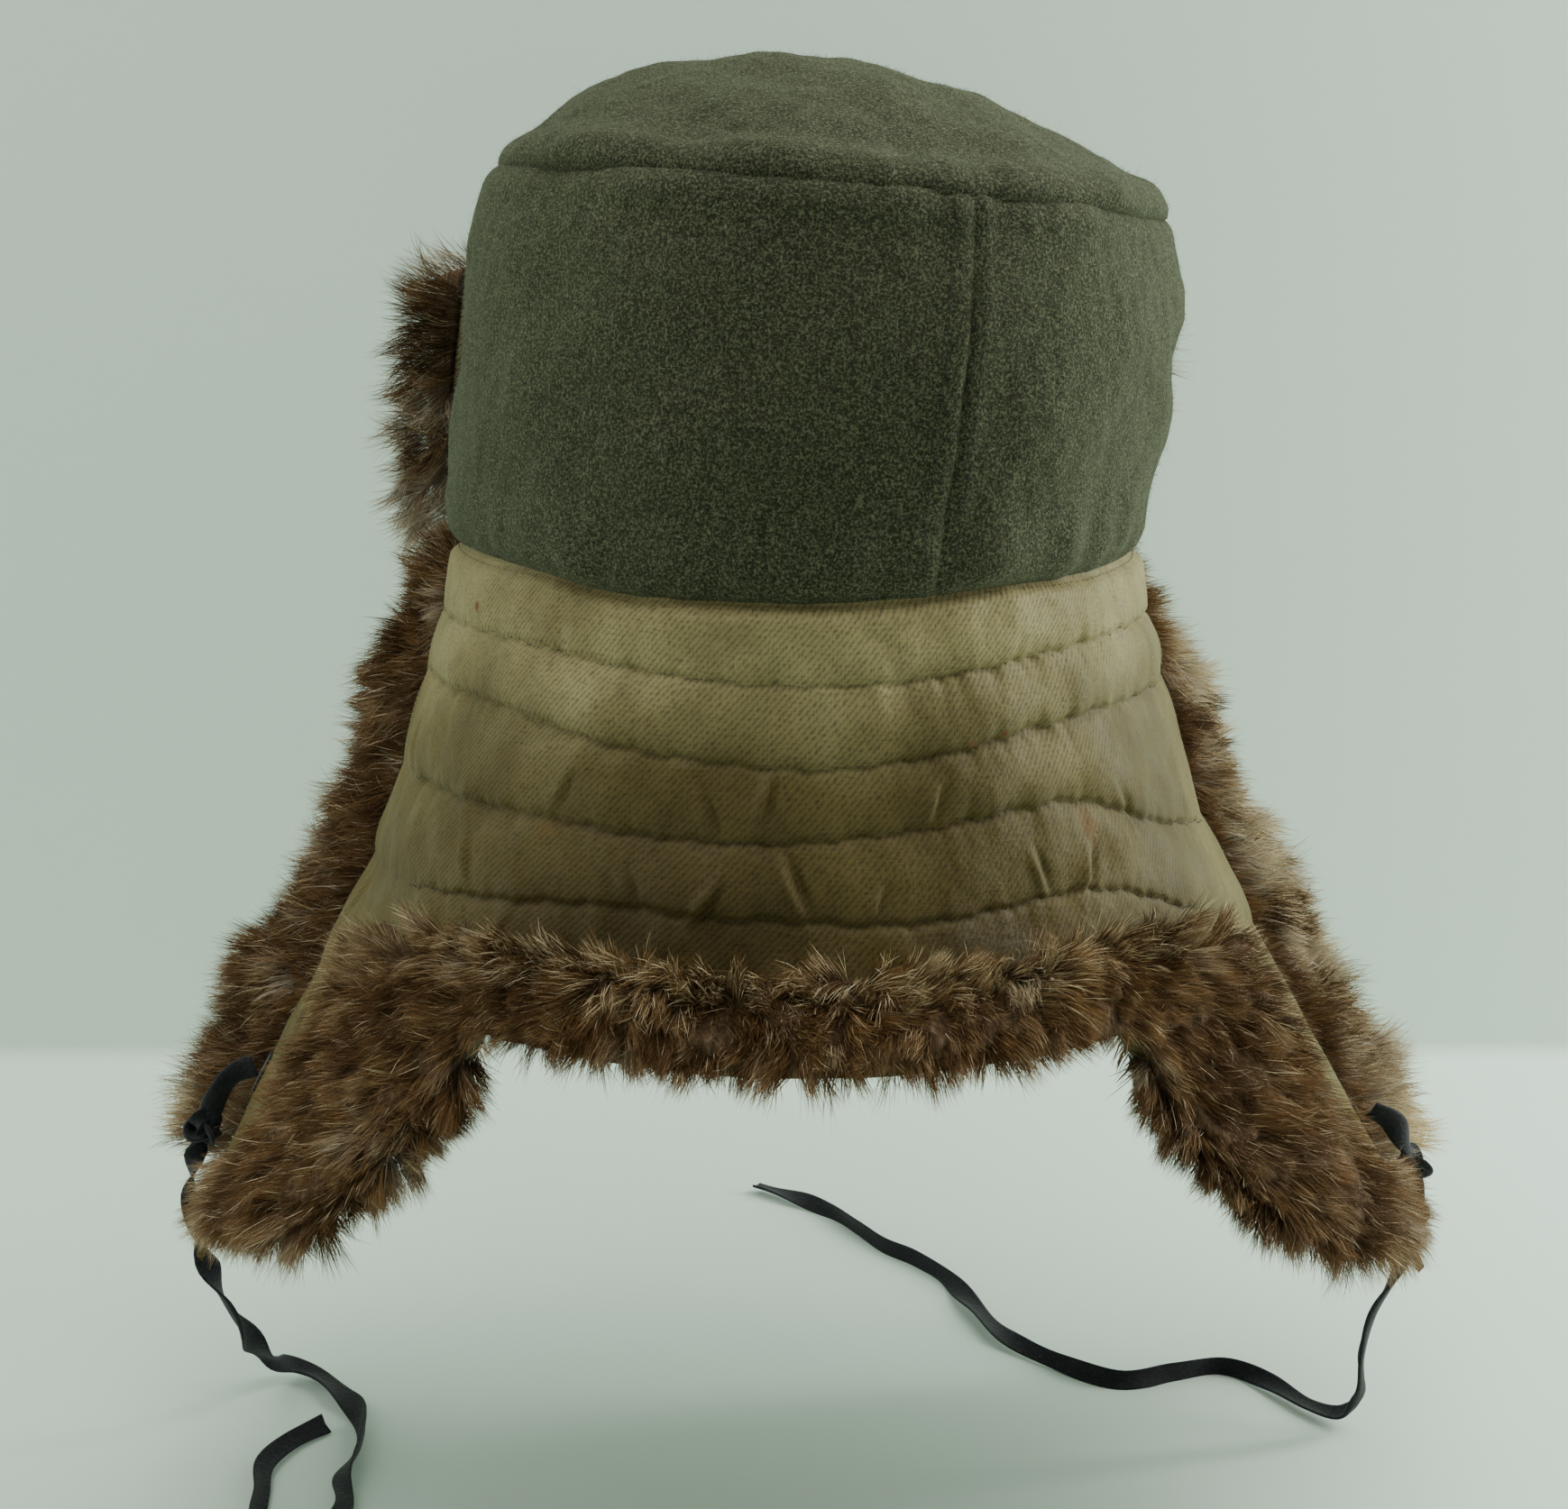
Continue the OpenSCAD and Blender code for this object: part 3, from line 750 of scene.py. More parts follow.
def crown_top():
    """The top panel: an outer and an inner dome that meet at the rim, each closed by a hub."""
    n = 330
    a = np.arange(n)[None, :] * 360.0 / n
    r = np.concatenate([1 - 0.012 * np.arange(10), np.linspace(0.875, 0.004, 62)])[:, None]
    h = top_relief(a, r)
    outer, inner = dome(a, r, h), dome(a, r * 0.985, -7.0 + 0 * h)
    m = outer.shape[0]
    s = m * n
    hub = [outer[-1].mean(0), inner[-1].mean(0)]
    row = np.arange(n + 1) % n
    last, after = (m - 1) * n + row[:-1], (m - 1) * n + row[1:]
    quads = np.concatenate([grid_quads(m, n, 0, True, True), grid_quads(m, n, s, False, True),
                            strip(row, s)])
    tris = np.concatenate([quads[:, [0, 1, 2]], quads[:, [0, 2, 3]],
                           np.stack([last, np.full(n, 2 * s), after], -1),
                           np.stack([last + s, after + s, np.full(n, 2 * s + 1)], -1)])
    verts = np.vstack([outer.reshape(-1, 3), inner.reshape(-1, 3), hub])
    piece = build("crown_top_panel", verts, tris, WOOL)
    attach(piece, "crown", "wool", "crown_top", "top_wadding")


crown_side("crown_side_left_panel", BACK_SEAM, 180, "crown_side_left",
           ("side_wadding_back", "side_wadding_left"))
crown_side("crown_side_right_panel", -180, BACK_SEAM, "crown_side_right",
           ("side_wadding_front", "side_wadding_right"))
crown_top()

# ---- the quilted curtain ----

# The quilting rows from the top: azimuths, and how far below the hem a row is at each.
LINES = (
    ((-90, -45, -27, -13, 4, 26, 42, 75, 90), (14.5, 13.2, 15.6, 17.6, 18.2, 16.2, 13.6, 15, 16)),
    ((-90, -74, -43, -29, -12, 2, 24, 48, 79, 90), (33.5, 32.6, 30.1, 32.1, 35.9, 37.7, 34.7, 29.7,
                                                   32.5, 34)),
    ((-90, -70, -56, -40, -29, -11, 4, 23, 37, 59, 90), (76, 70, 63.2, 50.1, 49, 52.2, 54.1, 54.2,
                                                         53.7, 55.6, 60)),
    ((-90, -58, -40, -26, -17, -6, 4, 22, 40, 56, 90), (112, 86, 70.9, 71.4, 72.4, 72.3, 71.1,
                                                        70.2, 74.7, 79.7, 88)),
)
# The azimuths between which each row is sewn.
LINE_ENDS = ((-84, 84), (-84, 84), (-74, 70), (-58, 60))


def line_d(i, a):
    """How far below the hem quilting row i is: a rounded outline with a hand-sewn wobble."""
    wide = np.stack([np.interp(a + k, *LINES[i]) for k in (-5, -2.5, 0, 2.5, 5)]).mean(0)
    return wide + 0.35 * np.sin(a * 0.9 + i * 2) + 0.2 * np.sin(a * 2.3 + i)


# Creases in the cover: azimuth, drop, width, height, slant and depth of each.
CREASES = (
    (13, 48, 2.0, 5.0, 0.45, 1.1), (5.5, 44, 1.8, 5.5, -0.3, 1.2), (12, 67, 2.0, 4.0, -0.6, 1.4),
    (2, 63, 2.2, 6.5, 0.45, 1.6), (-16, 46, 2.0, 4.5, -0.4, 1.0), (22, 66, 2.0, 4.0, 0.5, 0.9),
    (-30, 64, 2.0, 5.0, 0.3, 0.8), (-38, 66, 1.8, 5.0, -0.4, 0.9), (33, 46, 2.4, 5.0, -0.4, 0.6),
    (-8, 67, 1.8, 3.5, -0.4, 0.8), (-48, 56, 2.4, 6.0, 0.5, 0.8), (47, 68, 2.4, 6.0, 0.4, 0.7),
    (-66, 60, 2.8, 9.0, -0.4, 0.9), (72, 48, 2.4, 8.0, 0.4, 0.6), (78, 96, 2.8, 10, -0.3, 0.8),
    (-80, 110, 2.8, 12, 0.3, 0.8), (76, 130, 2.6, 10, 0.4, 0.7), (40, 86, 2.6, 6.0, -0.4, 0.7),
)
# How full the padding is above, between and below the rows.
FULLNESS = (1.9, 2.3, 2.3, 2.1, 1.2)
# mm that one degree of azimuth reaches at the back.
BACK_STEP = 2.1


def quilting(a, d):
    """How far the quilted cloth stands out of the wall, in mm."""
    lines = [line_d(i, a) for i in range(len(LINES))]
    tops = [0 * lines[0] - 6, *lines, lines[-1] + 34]
    h = np.full(np.shape(d), 0.3)
    near = np.full(np.shape(d), 99.0)
    for low, high, full in zip(tops, tops[1:], FULLNESS):
        t = np.clip((d - low) / (high - low), 0, 1)
        h = np.where((d >= low) & (d < high), full * np.sin(np.pi * t ** 1.2) ** 0.62, h)
    for line, (first, last) in zip(lines, LINE_ENDS):
        fade = smooth(a, first - 4, first + 4) * (1 - smooth(a, last - 4, last + 4))
        near = np.minimum(near, np.abs(d - line) + 30 * (1 - fade))
    p = around_axis(a, 120, -d)
    fine = np.stack([a * BACK_STEP, d * 0.35, 0 * d], -1)
    h = h * (0.85 + 0.25 * waves(p, 60, 21)) + 0.7 * waves(p, 52, 22) + 0.28 * waves(p, 17, 23)
    h = h + (0.3 * waves(fine, 13, 24) + 0.16 * waves(fine, 6, 25)) * np.exp(-near / 5.0)
    h = h - 0.75 * np.exp(-(near / 0.9) ** 2)
    for at, low, across, down, slant, deep in CREASES:
        u = (a - at) * BACK_STEP + slant * (d - low)
        fold = bell(u, 1.2, across) - 1.15 * bell(u, -1.0, across * 0.7)
        h = h + 1.3 * deep * fold * bell(d, low, down)
    return h


COVER_ROLL = 4.5


def edge_roll(x, radius):
    """0 at an edge and 1 from radius mm inside it, round like a padded edge."""
    t = np.clip(x / radius, 0, 1)
    return np.sqrt(1 - (1 - t) ** 2)


def cover_grid(side, rows, cols):
    """Azimuths and drops of a cover, with the distances in mm from its free edges."""
    drop = DROP[side]
    d = -5.0 + (drop + 5.0) * np.linspace(0, 1, rows)[:, None]
    if side == "neck":
        edge = split_a(np.maximum(0, d), k=SPLIT_K + 0.01)
        a = edge * np.linspace(-1, 1, cols)[None, :]
        return a, d + 0 * a, drop - d + 0 * a
    back, fore = ear_back(np.maximum(0, d), drop, SPLIT_K - 0.01), ear_fore(d, drop)
    a = back + (fore - back) * np.linspace(0, 1, cols)[None, :]
    d = d + 0 * a
    step = mm_per_degree(d)
    free = np.minimum((fore - a) * step, drop - d)
    beside = (a - back) * step + 3 * (1 - smooth(d, ARCH_D, 127))
    return a * SIGN[side], d, np.where(d > ARCH_D, np.minimum(free, beside), free)


def cover_off(a, d, free):
    """Offset of a cover's outer face: tucked under the wool at the top, rolled at its edges."""
    tuck = smooth(d, -hem_z(a) - 0.6, -hem_z(a) + 3.2)
    body = -3.1 + (quilting(a, d) + 3.1) * tuck
    return -4.2 + (body + 4.2) * edge_roll(free, COVER_ROLL)


def cloth_cover(side, rows, cols):
    """A flap's padded cover, built in place with its transform baked in, which hides the CAD parts
    that it stands for.
    """
    a, d, free = cover_grid(side, rows, cols)
    if side == "right":
        a, d, free = a[:, ::-1], d[:, ::-1], free[:, ::-1]
    outer = wall(a, -d, cover_off(a, d, free), side)
    inner = wall(a, -d, -6.0 + 1.6 * (1 - edge_roll(free, COVER_ROLL)), side)
    piece = shell(side + "_quilted_cover", outer, inner, COTTON)
    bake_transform(piece)
    band = ("hem_band", "hem_band_wadding") if side == "neck" else ()
    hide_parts(NODES[side] + "_cover", NODES[side] + "_wadding", *band)


for flap, rows, cols in (("neck", 150, 300), ("left", 230, 170), ("right", 240, 170)):
    cloth_cover(flap, rows, cols)


def covering(side, a, d):
    """Points on the outside of a cover, and the wall's normals there."""
    def at(u, v):
        free = DROP[side] - v
        if side != "neck":
            fore = (ear_fore(v, DROP[side]) - np.abs(u)) * mm_per_degree(v)
            free = np.minimum(fore, free)
        return wall(u, -v, cover_off(u, v, free), side)
    points = at(a, d)
    return points, -unit(np.cross(at(a + 0.3, d) - points, at(a, d + 0.5) - points))


# A stitch's five places along its length, how far it rises at each, and its half widths.
STITCH_AT = np.array([0, 0.2, 0.5, 0.8, 1.0])
STITCH_RISE = np.array([-0.7, 0.1, 0.28, 0.1, -0.7]) * 1.6
STITCH_FAT = np.array([0.5, 0.95, 1, 0.95, 0.5]) / 2


def stitches(name, paths, long, thick, material):
    """Short threads laid along paths: each path is points, then normals."""
    verts, quads = [], []
    turn = np.arange(5)[None, :, None] * 2 * np.pi / 5
    for points, normals in paths:
        s = arc_lengths(points)
        for start in np.arange(0.5, s[-1] - long, long * 1.28):
            u = start + long * STITCH_AT
            mid, up = (np.stack([np.interp(u, s, values[:, j]) for j in range(3)], -1)
                       for values in (points, normals))
            up = unit(up)
            mid = mid + up * (STITCH_RISE * thick)[:, None]
            side = unit(np.cross(np.gradient(mid, axis=0), up))
            ring = np.cos(turn) * side[:, None] + np.sin(turn) * up[:, None]
            tube = mid[:, None] + (thick * STITCH_FAT)[:, None, None] * ring
            quads.append(grid_quads(5, 5, 25 * len(verts), False, True))
            verts.append(tube.reshape(-1, 3))
    return build(name, np.concatenate(verts), np.concatenate(quads), material)


def quilting_stitches(side):
    """The thread along a cover's quilting rows, and along an ear flap's front edge."""
    paths = []
    for i, (low, high) in enumerate(LINE_ENDS):
        a = np.linspace(low, high, 420)
        d = line_d(i, a)
        split = split_a(d)
        keep = np.abs(a) < split - 0.4 if side == "neck" else a * SIGN[side] > split + 0.4
        if keep.sum() > 8:
            paths.append(covering(side, a[keep], d[keep]))
    if side != "neck":
        d = np.linspace(8, DROP[side] - 12, 300)
        a = SIGN[side] * (ear_fore(d, DROP[side]) - 6.0 / mm_per_degree(d))
        paths.append(covering(side, a, d))
    piece = stitches(side + "_quilting_stitches", paths, 2.5, 0.42, BLUE_THREAD)
    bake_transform(piece)


for flap in BODIES:
    quilting_stitches(flap)

# ---- fur ----

# A strand's four places from root to tip, its widths at three of them, and its triangles.
STRAND_AT = np.array([0, 0.4, 0.75, 1.0])
STRAND_WIDTH = np.array([0.9, 0.95, 0.6])
STRAND_TRIS = np.array([[0, 1, 3], [0, 3, 2], [2, 3, 5], [2, 5, 4], [4, 5, 6]])
# Large numbers that turn a cell of space into one key.
CELL_KEYS = np.array([73856093, 19349663, 83492791])
GUARD_TINT = 0.97
HAIRS = 38000


def combine(*parts):
    """The sum of direction arrays, each with its own weight for every hair."""
    return sum(ways * np.asarray(weight, float)[..., None] for ways, weight in parts)


def fur_piece(name, body, roots, lean, length, tint, seed, width=0.19, clump=4.0, pull=0.42,
              droop=0.25, wild=0.2, slot="fur", material=FUR):
    """Tapered ribbons that grow from roots along lean, gathered into tufts.

    clump is the spacing of the tufts in mm, pull how far their tips draw together, and wild the
    spread of single hairs. tint and length hold one value for each hair.
    """
    rng = np.random.default_rng(seed)
    count = len(roots)
    lean = unit(lean)
    warped = roots + np.stack([2.2 * waves(roots, 17, seed + k) for k in range(3)], -1)
    cell = np.floor(warped / (clump, clump, clump * 1.25)).astype(np.int64)
    tuft = np.unique((cell * CELL_KEYS).sum(1), return_inverse=True)[1]
    tufts = tuft.max() + 1
    size = np.bincount(tuft, minlength=tufts)[:, None]
    mean = np.stack([np.bincount(tuft, roots[:, k], tufts) for k in range(3)], -1) / size
    bias = rng.normal(0, 0.26, (tufts, 3))
    grow = rng.uniform(0.85, 1.15, tufts)
    shade = rng.normal(0, 0.1, tufts)
    length = length * grow[tuft] * rng.uniform(0.7, 1.1, count)
    way = unit(lean + bias[tuft] + rng.normal(0, wild, (count, 3)))
    aim = unit(lean + bias[tuft])
    target = mean[tuft] + aim * (length * 1.02)[:, None]
    draw = np.clip(pull + rng.normal(0, 0.16, count), 0, 0.92)[:, None]
    tip = (roots + way * length[:, None]) * (1 - draw) + target * draw
    tip[:, 2] -= droop * length * rng.uniform(0.4, 1.0, count)
    middle = roots + (lean + 0.4 * (way - lean)) * (length * 0.52)[:, None]
    t = STRAND_AT[None, :, None]
    line = ((1 - t) ** 2 * roots[:, None] + 2 * t * (1 - t) * middle[:, None]
            + t ** 2 * tip[:, None])
    across = unit(np.cross(tip - roots, rng.normal(0, 1, (count, 3))))
    half = (width * rng.uniform(0.6, 1.25, count) / 2)[:, None] * across
    half = half[:, None] * STRAND_WIDTH[:, None]
    edges = np.stack([line[:, :3] + half, line[:, :3] - half], 2).reshape(count, 6, 3)
    verts = np.concatenate([edges, line[:, 3:]], 1).reshape(-1, 3)
    faces = (np.arange(count)[:, None, None] * 7 + STRAND_TRIS).reshape(-1, 3)
    tone = np.where(tint < 0.9, shade[tuft] + rng.normal(0, 0.06, count), 0)
    tone = np.clip(tint + tone, 0.01, 0.99)
    along = np.append(np.repeat(STRAND_AT[:3], 2), 1.0)
    uv = np.stack([np.repeat(tone, 7), np.tile(along, count)], -1)
    attach(build(name, verts, faces, material, uv), body, slot)


def coat_tint(points, rng, base, spread, guard=0.05, size=34, seed=50):
    """Tints of hairs at points: soft patches around a base, with some pale guard hairs."""
    tint = base + spread * waves(points, size, seed) + 0.5 * spread * waves(points, 11, seed + 1)
    tint = np.clip(tint, 0.03, 0.8)
    return np.where(rng.uniform(size=len(points)) < guard, GUARD_TINT, tint)


def patch_points(rng, count, low_d, high_d, left_a, right_a):
    """Random azimuths and drops between drops, with edges that may depend on the drop."""
    d = rng.uniform(low_d, high_d, count * 2)
    a0, a1 = left_a(d), right_a(d)
    width = (a1 - a0) * mm_per_degree(d)
    keep = rng.uniform(size=len(d)) < width / width.max()
    d, a0, a1 = d[keep][:count], a0[keep][:count], a1[keep][:count]
    return a0 + (a1 - a0) * rng.uniform(size=len(d)), d


def skin_frame(side, a, d, off):
    """Points on a skin and their outward, downward and leftward (+a) directions."""
    p = wall(a, -d, off, side)
    down = unit(wall(a, -d - 0.5, off, side) - p)
    across = unit(wall(a + 0.3, -d, off, side) - p)
    out = np.cross(down, across)
    out *= np.sign((out[..., :2] * p[..., :2]).sum(-1, keepdims=True))
    return p, out, down, across


def free_edge(a, step, low, high):
    """Distances in mm from a patch's nearest edge, from its azimuths and two distances."""
    ends = np.minimum(a - a[:, :1], a[:, -1:] - a) * step
    return np.minimum(ends, np.minimum(low, high))


def underfur(name, node, side, drops, edges, off, depth, rows, cols):
    """The dense short fur at the roots, as a lumpy dark pad on the skin."""
    d = np.linspace(*drops, rows)[:, None]
    ends = [SIGN[side] * edge(d) for edge in edges]
    a0, a1 = np.minimum(*ends), np.maximum(*ends)
    a = a0 + (a1 - a0) * np.linspace(0, 1, cols)[None, :]
    d = d + 0 * a
    free = np.minimum(np.minimum(a - a0, a1 - a) * mm_per_degree(d),
                      np.minimum(d - drops[0], drops[1] - d))
    p = wall(a, -d, 0, side)
    lump = 0.75 + 0.22 * waves(p, 14, 70) + 0.12 * waves(p, 6, 71)
    outer = wall(a, -d, off + depth * lump * edge_roll(np.maximum(free, 0.02), abs(depth)), side)
    inner = wall(a, -d, off - 0.02 * np.sign(depth), side)
    attach(shell(name, outer, inner, UNDERFUR, crease=False), BODIES[side], "fur", node)


# Drops between which the neck flap's trim grows. The ear flaps' trims start at the first.
TRIM_FROM, TRIM_TO = 84, 101
PELT_HAIR = 0.34


def neck_trim():
    rng = np.random.default_rng(101)

    def edge(d):
        return split_a(d) + 0.6

    a, d = patch_points(rng, HAIRS, TRIM_FROM, TRIM_TO, lambda d: -edge(d), edge)
    p, out, down, across = skin_frame("neck", a, d, 0.8)
    t = (d - TRIM_FROM) / (TRIM_TO - TRIM_FROM)
    lean = combine((out, 1.05 - 0.3 * t), (down, -0.45 + 1.35 * t),
                   (across, 0.2 * waves(p, 30, 7)))
    length = 12.6 - 0.4 * t + 2.0 * waves(p, 26, 8)
    tint = coat_tint(p, rng, 0.27, 0.16)
    tint[(t < 0.35) & (rng.uniform(size=len(d)) < 0.22)] = GUARD_TINT
    fur_piece("neck_trim_fur", "neck_flap", p, lean, length, tint, 201, droop=0.1)
    underfur("neck_trim_underfur", "neck_fur_trim", "neck", (83.5, 104),
             (lambda d: -edge(d), edge), 0.6, 7.5, 40, 180)


def neck_pelt():
    rng = np.random.default_rng(170)

    def edge(d):
        return split_a(d, -6, SPLIT_K + 0.6) - 0.3

    a, d = patch_points(rng, 9000, 26, 102, lambda d: -edge(d), edge)
    p, out, down, _ = skin_frame("neck", a, d, -6.6)
    low = smooth(d, 90, 110)
    lean = combine((-out, 1 - 0.5 * low), (down, 0.5 + 0.8 * low))
    tint = coat_tint(p, rng, 0.35, 0.2, size=36, seed=84)
    fur_piece("neck_inner_fur", "neck_flap", p, lean, 11 + 1.5 * waves(p, 24, 14), tint, 260,
              droop=0.1, width=PELT_HAIR)
    underfur("neck_skin", "neck_pelt", "neck", (22, 104), (lambda d: -edge(d), edge),
             -6.4, -6.5, 50, 120)


def coat_of(side, name, p, lean, length, tint, seed, droop, width=0.19):
    """Makes an ear flap's coat without the hairs that would bury its tie.

    The tie lies in sight on the fur, so a hair is left out where it passes in front of it.
    """
    path = spline(ROUTES[side])
    path = path[path[:, 2] > -262]
    way = unit(lean)
    clear = np.ones(len(p), bool)
    for reach in (0.3, 0.65, 1.0):
        q = (p + way * (length * reach)[:, None])[:, None]
        height = (q[..., 2] - path[:, 2]) - 0.24 * (q[..., 1] - path[:, 1])
        over = q[..., 1] > path[:, 1] - 1.5
        clear &= ~((np.hypot(q[..., 0] - path[:, 0], height) < 4.4) & over).any(1)
    fur_piece(side + name, BODIES[side], p[clear], lean[clear], length[clear], tint[clear],
              pair_seed(seed, side), width, droop=droop)


def ear_trim(side):
    """The fur that covers an ear flap's lobe behind its bare front strip of cloth."""
    sign, drop = SIGN[side], DROP[side]
    rng = np.random.default_rng(pair_seed(110, side))
    front_rise, ripple = {"left": (0.0, 4.0), "right": (-4.0, 3.0)}[side]

    def back(d):
        return ear_back(d, drop) - 0.6

    def fore(d):
        limit = trim_fore(d) - 3 + 14 * smooth(d, drop - 42, drop - 8)
        return np.maximum(np.minimum(limit, ear_fore(d, drop)), back(d) + 1)

    def core_fore(d):
        return np.maximum(fore(d) - 2.5 - 9 * smooth(d, drop - 30, drop - 3), back(d) + 1)

    a, d = patch_points(rng, 36000, TRIM_FROM, drop - 2, back, fore)
    u = (a - back(d)) / (fore(d) - back(d))
    upper = (TRIM_FROM + (20 + front_rise) * u ** 1.6
             + ripple * waves(np.stack([a, d, 0 * a], -1), 9, 31))
    lowest = np.minimum(drop - 17 + a - 70, drop - 10)
    keep = (d > upper) & (d < lowest)
    a, d, u, upper, lowest = a[keep], d[keep], u[keep], upper[keep], lowest[keep]
    fringe = (rng.uniform(size=len(d)) < 0.3) & (d > 112)
    below = fringe & (d > drop - 30)
    d = np.where(below & (rng.uniform(size=len(d)) < 0.6), lowest, d)
    beside = fringe & (d < lowest)
    a = np.where(beside, back(d), a)
    off = np.where(fringe, rng.uniform(-6.0, 0.8, len(d)), 0.8)
    edge_in, edge_down = 1.0 * beside, 1.0 * (fringe & ~beside)
    u = np.where(beside, 0, u)
    p, out, down, across = skin_frame(side, a * sign, d, off)
    rise = np.exp(-(d - upper) / 9.0)
    tip = smooth(d, drop - 45, drop)
    inward = 0.75 * (1 - smooth(u, 0.0, 0.3)) * smooth(d, 112, 124) + 0.35 * edge_in
    lean = combine((out, 0.85 - 0.6 * edge_in - 0.5 * edge_down),
                   (down, 0.5 + 0.4 * tip + 0.4 * edge_down - 1.1 * rise - 0.1 * edge_in),
                   (across * sign, 0.3 * smooth(u, 0.6, 1.0) * (1 - tip) - inward),
                   (across, 0.15 * waves(p, 30, 9)))
    length = 12.2 - 1.2 * tip + 1.8 * waves(p, 26, 10) + 1.2 * edge_in * smooth(d, 120, 150)
    base, seed = {"left": (0.25, 60), "right": (0.14, 64)}[side]
    tint = coat_tint(p, rng, base + 0.42 * tip, 0.19, size=40, seed=seed)
    tint += 0.4 * bell(d, drop - 10, 16) * smooth(u, 0.45, 1.0) * (side == "left")
    tint[(rise > 0.45) & (rng.uniform(size=len(d)) < 0.13)] = GUARD_TINT
    coat_of(side, "_ear_trim_fur", p, lean, length, tint, 210, 0.15)
    underfur(side + "_ear_trim_underfur", side + "_ear_fur_trim", side, (92, drop - 10),
             (back, core_fore), 0.6, 7.0, 80, 60)


def ear_pelt(side):
    """The fur inside an ear flap, and its roll in front of the cover's edge."""
    sign, drop = SIGN[side], DROP[side]
    rng = np.random.default_rng(pair_seed(130, side))

    def back(d):
        return ear_back(d, drop, SPLIT_K - 0.6)

    def fore(d):
        return ear_fore(d, drop, 97.0)

    a, d = patch_points(rng, 13000, 26, drop - 11, back, lambda d: fore(d) + 2)
    p, out, down, across = skin_frame(side, a * sign, d, -6.5)
    edge = smooth(a, 84, 97)
    low = smooth(d, drop - 30, drop)
    lean = combine((-out, 1 - 0.75 * edge), (down, 0.5 + 0.6 * low), (across * sign, 0.5 * edge))
    length = 12.0 - 1.0 * low + 1.5 * waves(p, 24, 11)
    tint = coat_tint(p, rng, 0.32, 0.2, size=36, seed=80)
    fur_piece(side + "_ear_inner_fur", BODIES[side], p, lean, length, tint, 230, droop=0.1,
              width=PELT_HAIR)
    front_roll(side, fore)
    underfur(side + "_ear_skin", side + "_ear_pelt", side, (22, drop - 9),
             (lambda d: back(d) + 0.2, fore), -6.4, -6.5, 100, 70)


# Where each roll of fur is fuller or flatter: drop, spread and mm.
ROLL_SWELLS = {"left": ((8, 12, 6), (46, 10, 5), (132, 12, 7)),
               "right": ((16, 14, -8), (104, 18, 7))}
# Base tint, its spread, the share of guard hairs, and how much painted shadow darkens it by the
# cover, where the cover's edge shades it.
ROLL_TINTS = {"left": (0.26, 0.24, 0.05, 0.17), "right": (0.84, 0.7, 0.16, 0.6)}


def front_roll(side, fore):
    """Long fur that spills out past the front edge of an ear flap's cover."""
    sign, drop = SIGN[side], DROP[side]
    rng = np.random.default_rng(pair_seed(150, side))
    d = rng.uniform(0, drop - 14, HAIRS)
    start = ear_fore(d, drop) + 0.8
    a = start + (fore(d) + 2 - start) * rng.uniform(size=len(d)) ** 1.2
    swell = sum(size * bell(d, at, width) for at, width, size in ROLL_SWELLS[side])
    full = 16.5 * smooth(d, -20, 40) + 2.5 * smooth(d, 95, 150) + swell
    off = -5.0 + full * smooth(a - start, 0, 9)
    off = off + rng.uniform(-7.0, 0.5, len(d))
    p, out, down, across = skin_frame(side, a * sign, d, off)
    lobe = smooth(d, 120, 170) * (1 - smooth(d, drop - 25, drop))
    hang = 0.3 + 0.35 * smooth(d, drop - 30, drop) - 0.7 * (1 - smooth(d, 2, 16))
    lean = combine((out, 0.95 + 0.25 * lobe), (down, hang),
                   (across * sign, 0.25 * rng.normal(0, 1, len(d))))
    lean += np.array([0, 0.12, 0]) + combine((down, 0.25 * waves(p, 24, 12)))
    length = (11 + 3.5 * smooth(d, 0, 40) + 2.5 * lobe + 2.4 * waves(p, 22, 13)) * (
        1 - 0.3 * smooth(d, drop - 35, drop - 5))
    base, spread, guard, dark = ROLL_TINTS[side]
    tint = coat_tint(p, rng, base, spread, guard, 24, 90)
    tint += 0.28 * smooth(d, drop - 30, drop - 16)
    # Painted shadow: the hairs nearest the cover's edge, which shades them, are darkened.
    tint -= dark * (1 - smooth(a - start, 0.5, 4.5))
    coat_of(side, "_ear_front_fur", p, lean, length, np.clip(tint, 0.02, 0.98), 240, 0.1, 0.27)


# ---- the turned-up front flap ----

FLAP_STEP = 1.8


def front_cover():
    a, z = sheet(FRONT_MID - FRONT_HALF, FRONT_MID + FRONT_HALF, 170, FRONT_H, 1, 60)
    roll = edge_roll(free_edge(a, FLAP_STEP, FRONT_H - z, z - 1), 4)
    outer = wall(a, z, FRONT_GAP + 3 + 3 * roll)
    inner = wall(a, z, FRONT_GAP + 3 - 2.6 * roll + 0.4 * waves(wall(a, z, 0), 30, 15) * roll)
    cover = shell("front_flap_cover", outer, inner, COTTON)
    attach(cover, "front_flap", "cotton", "front_cover", "front_wadding")


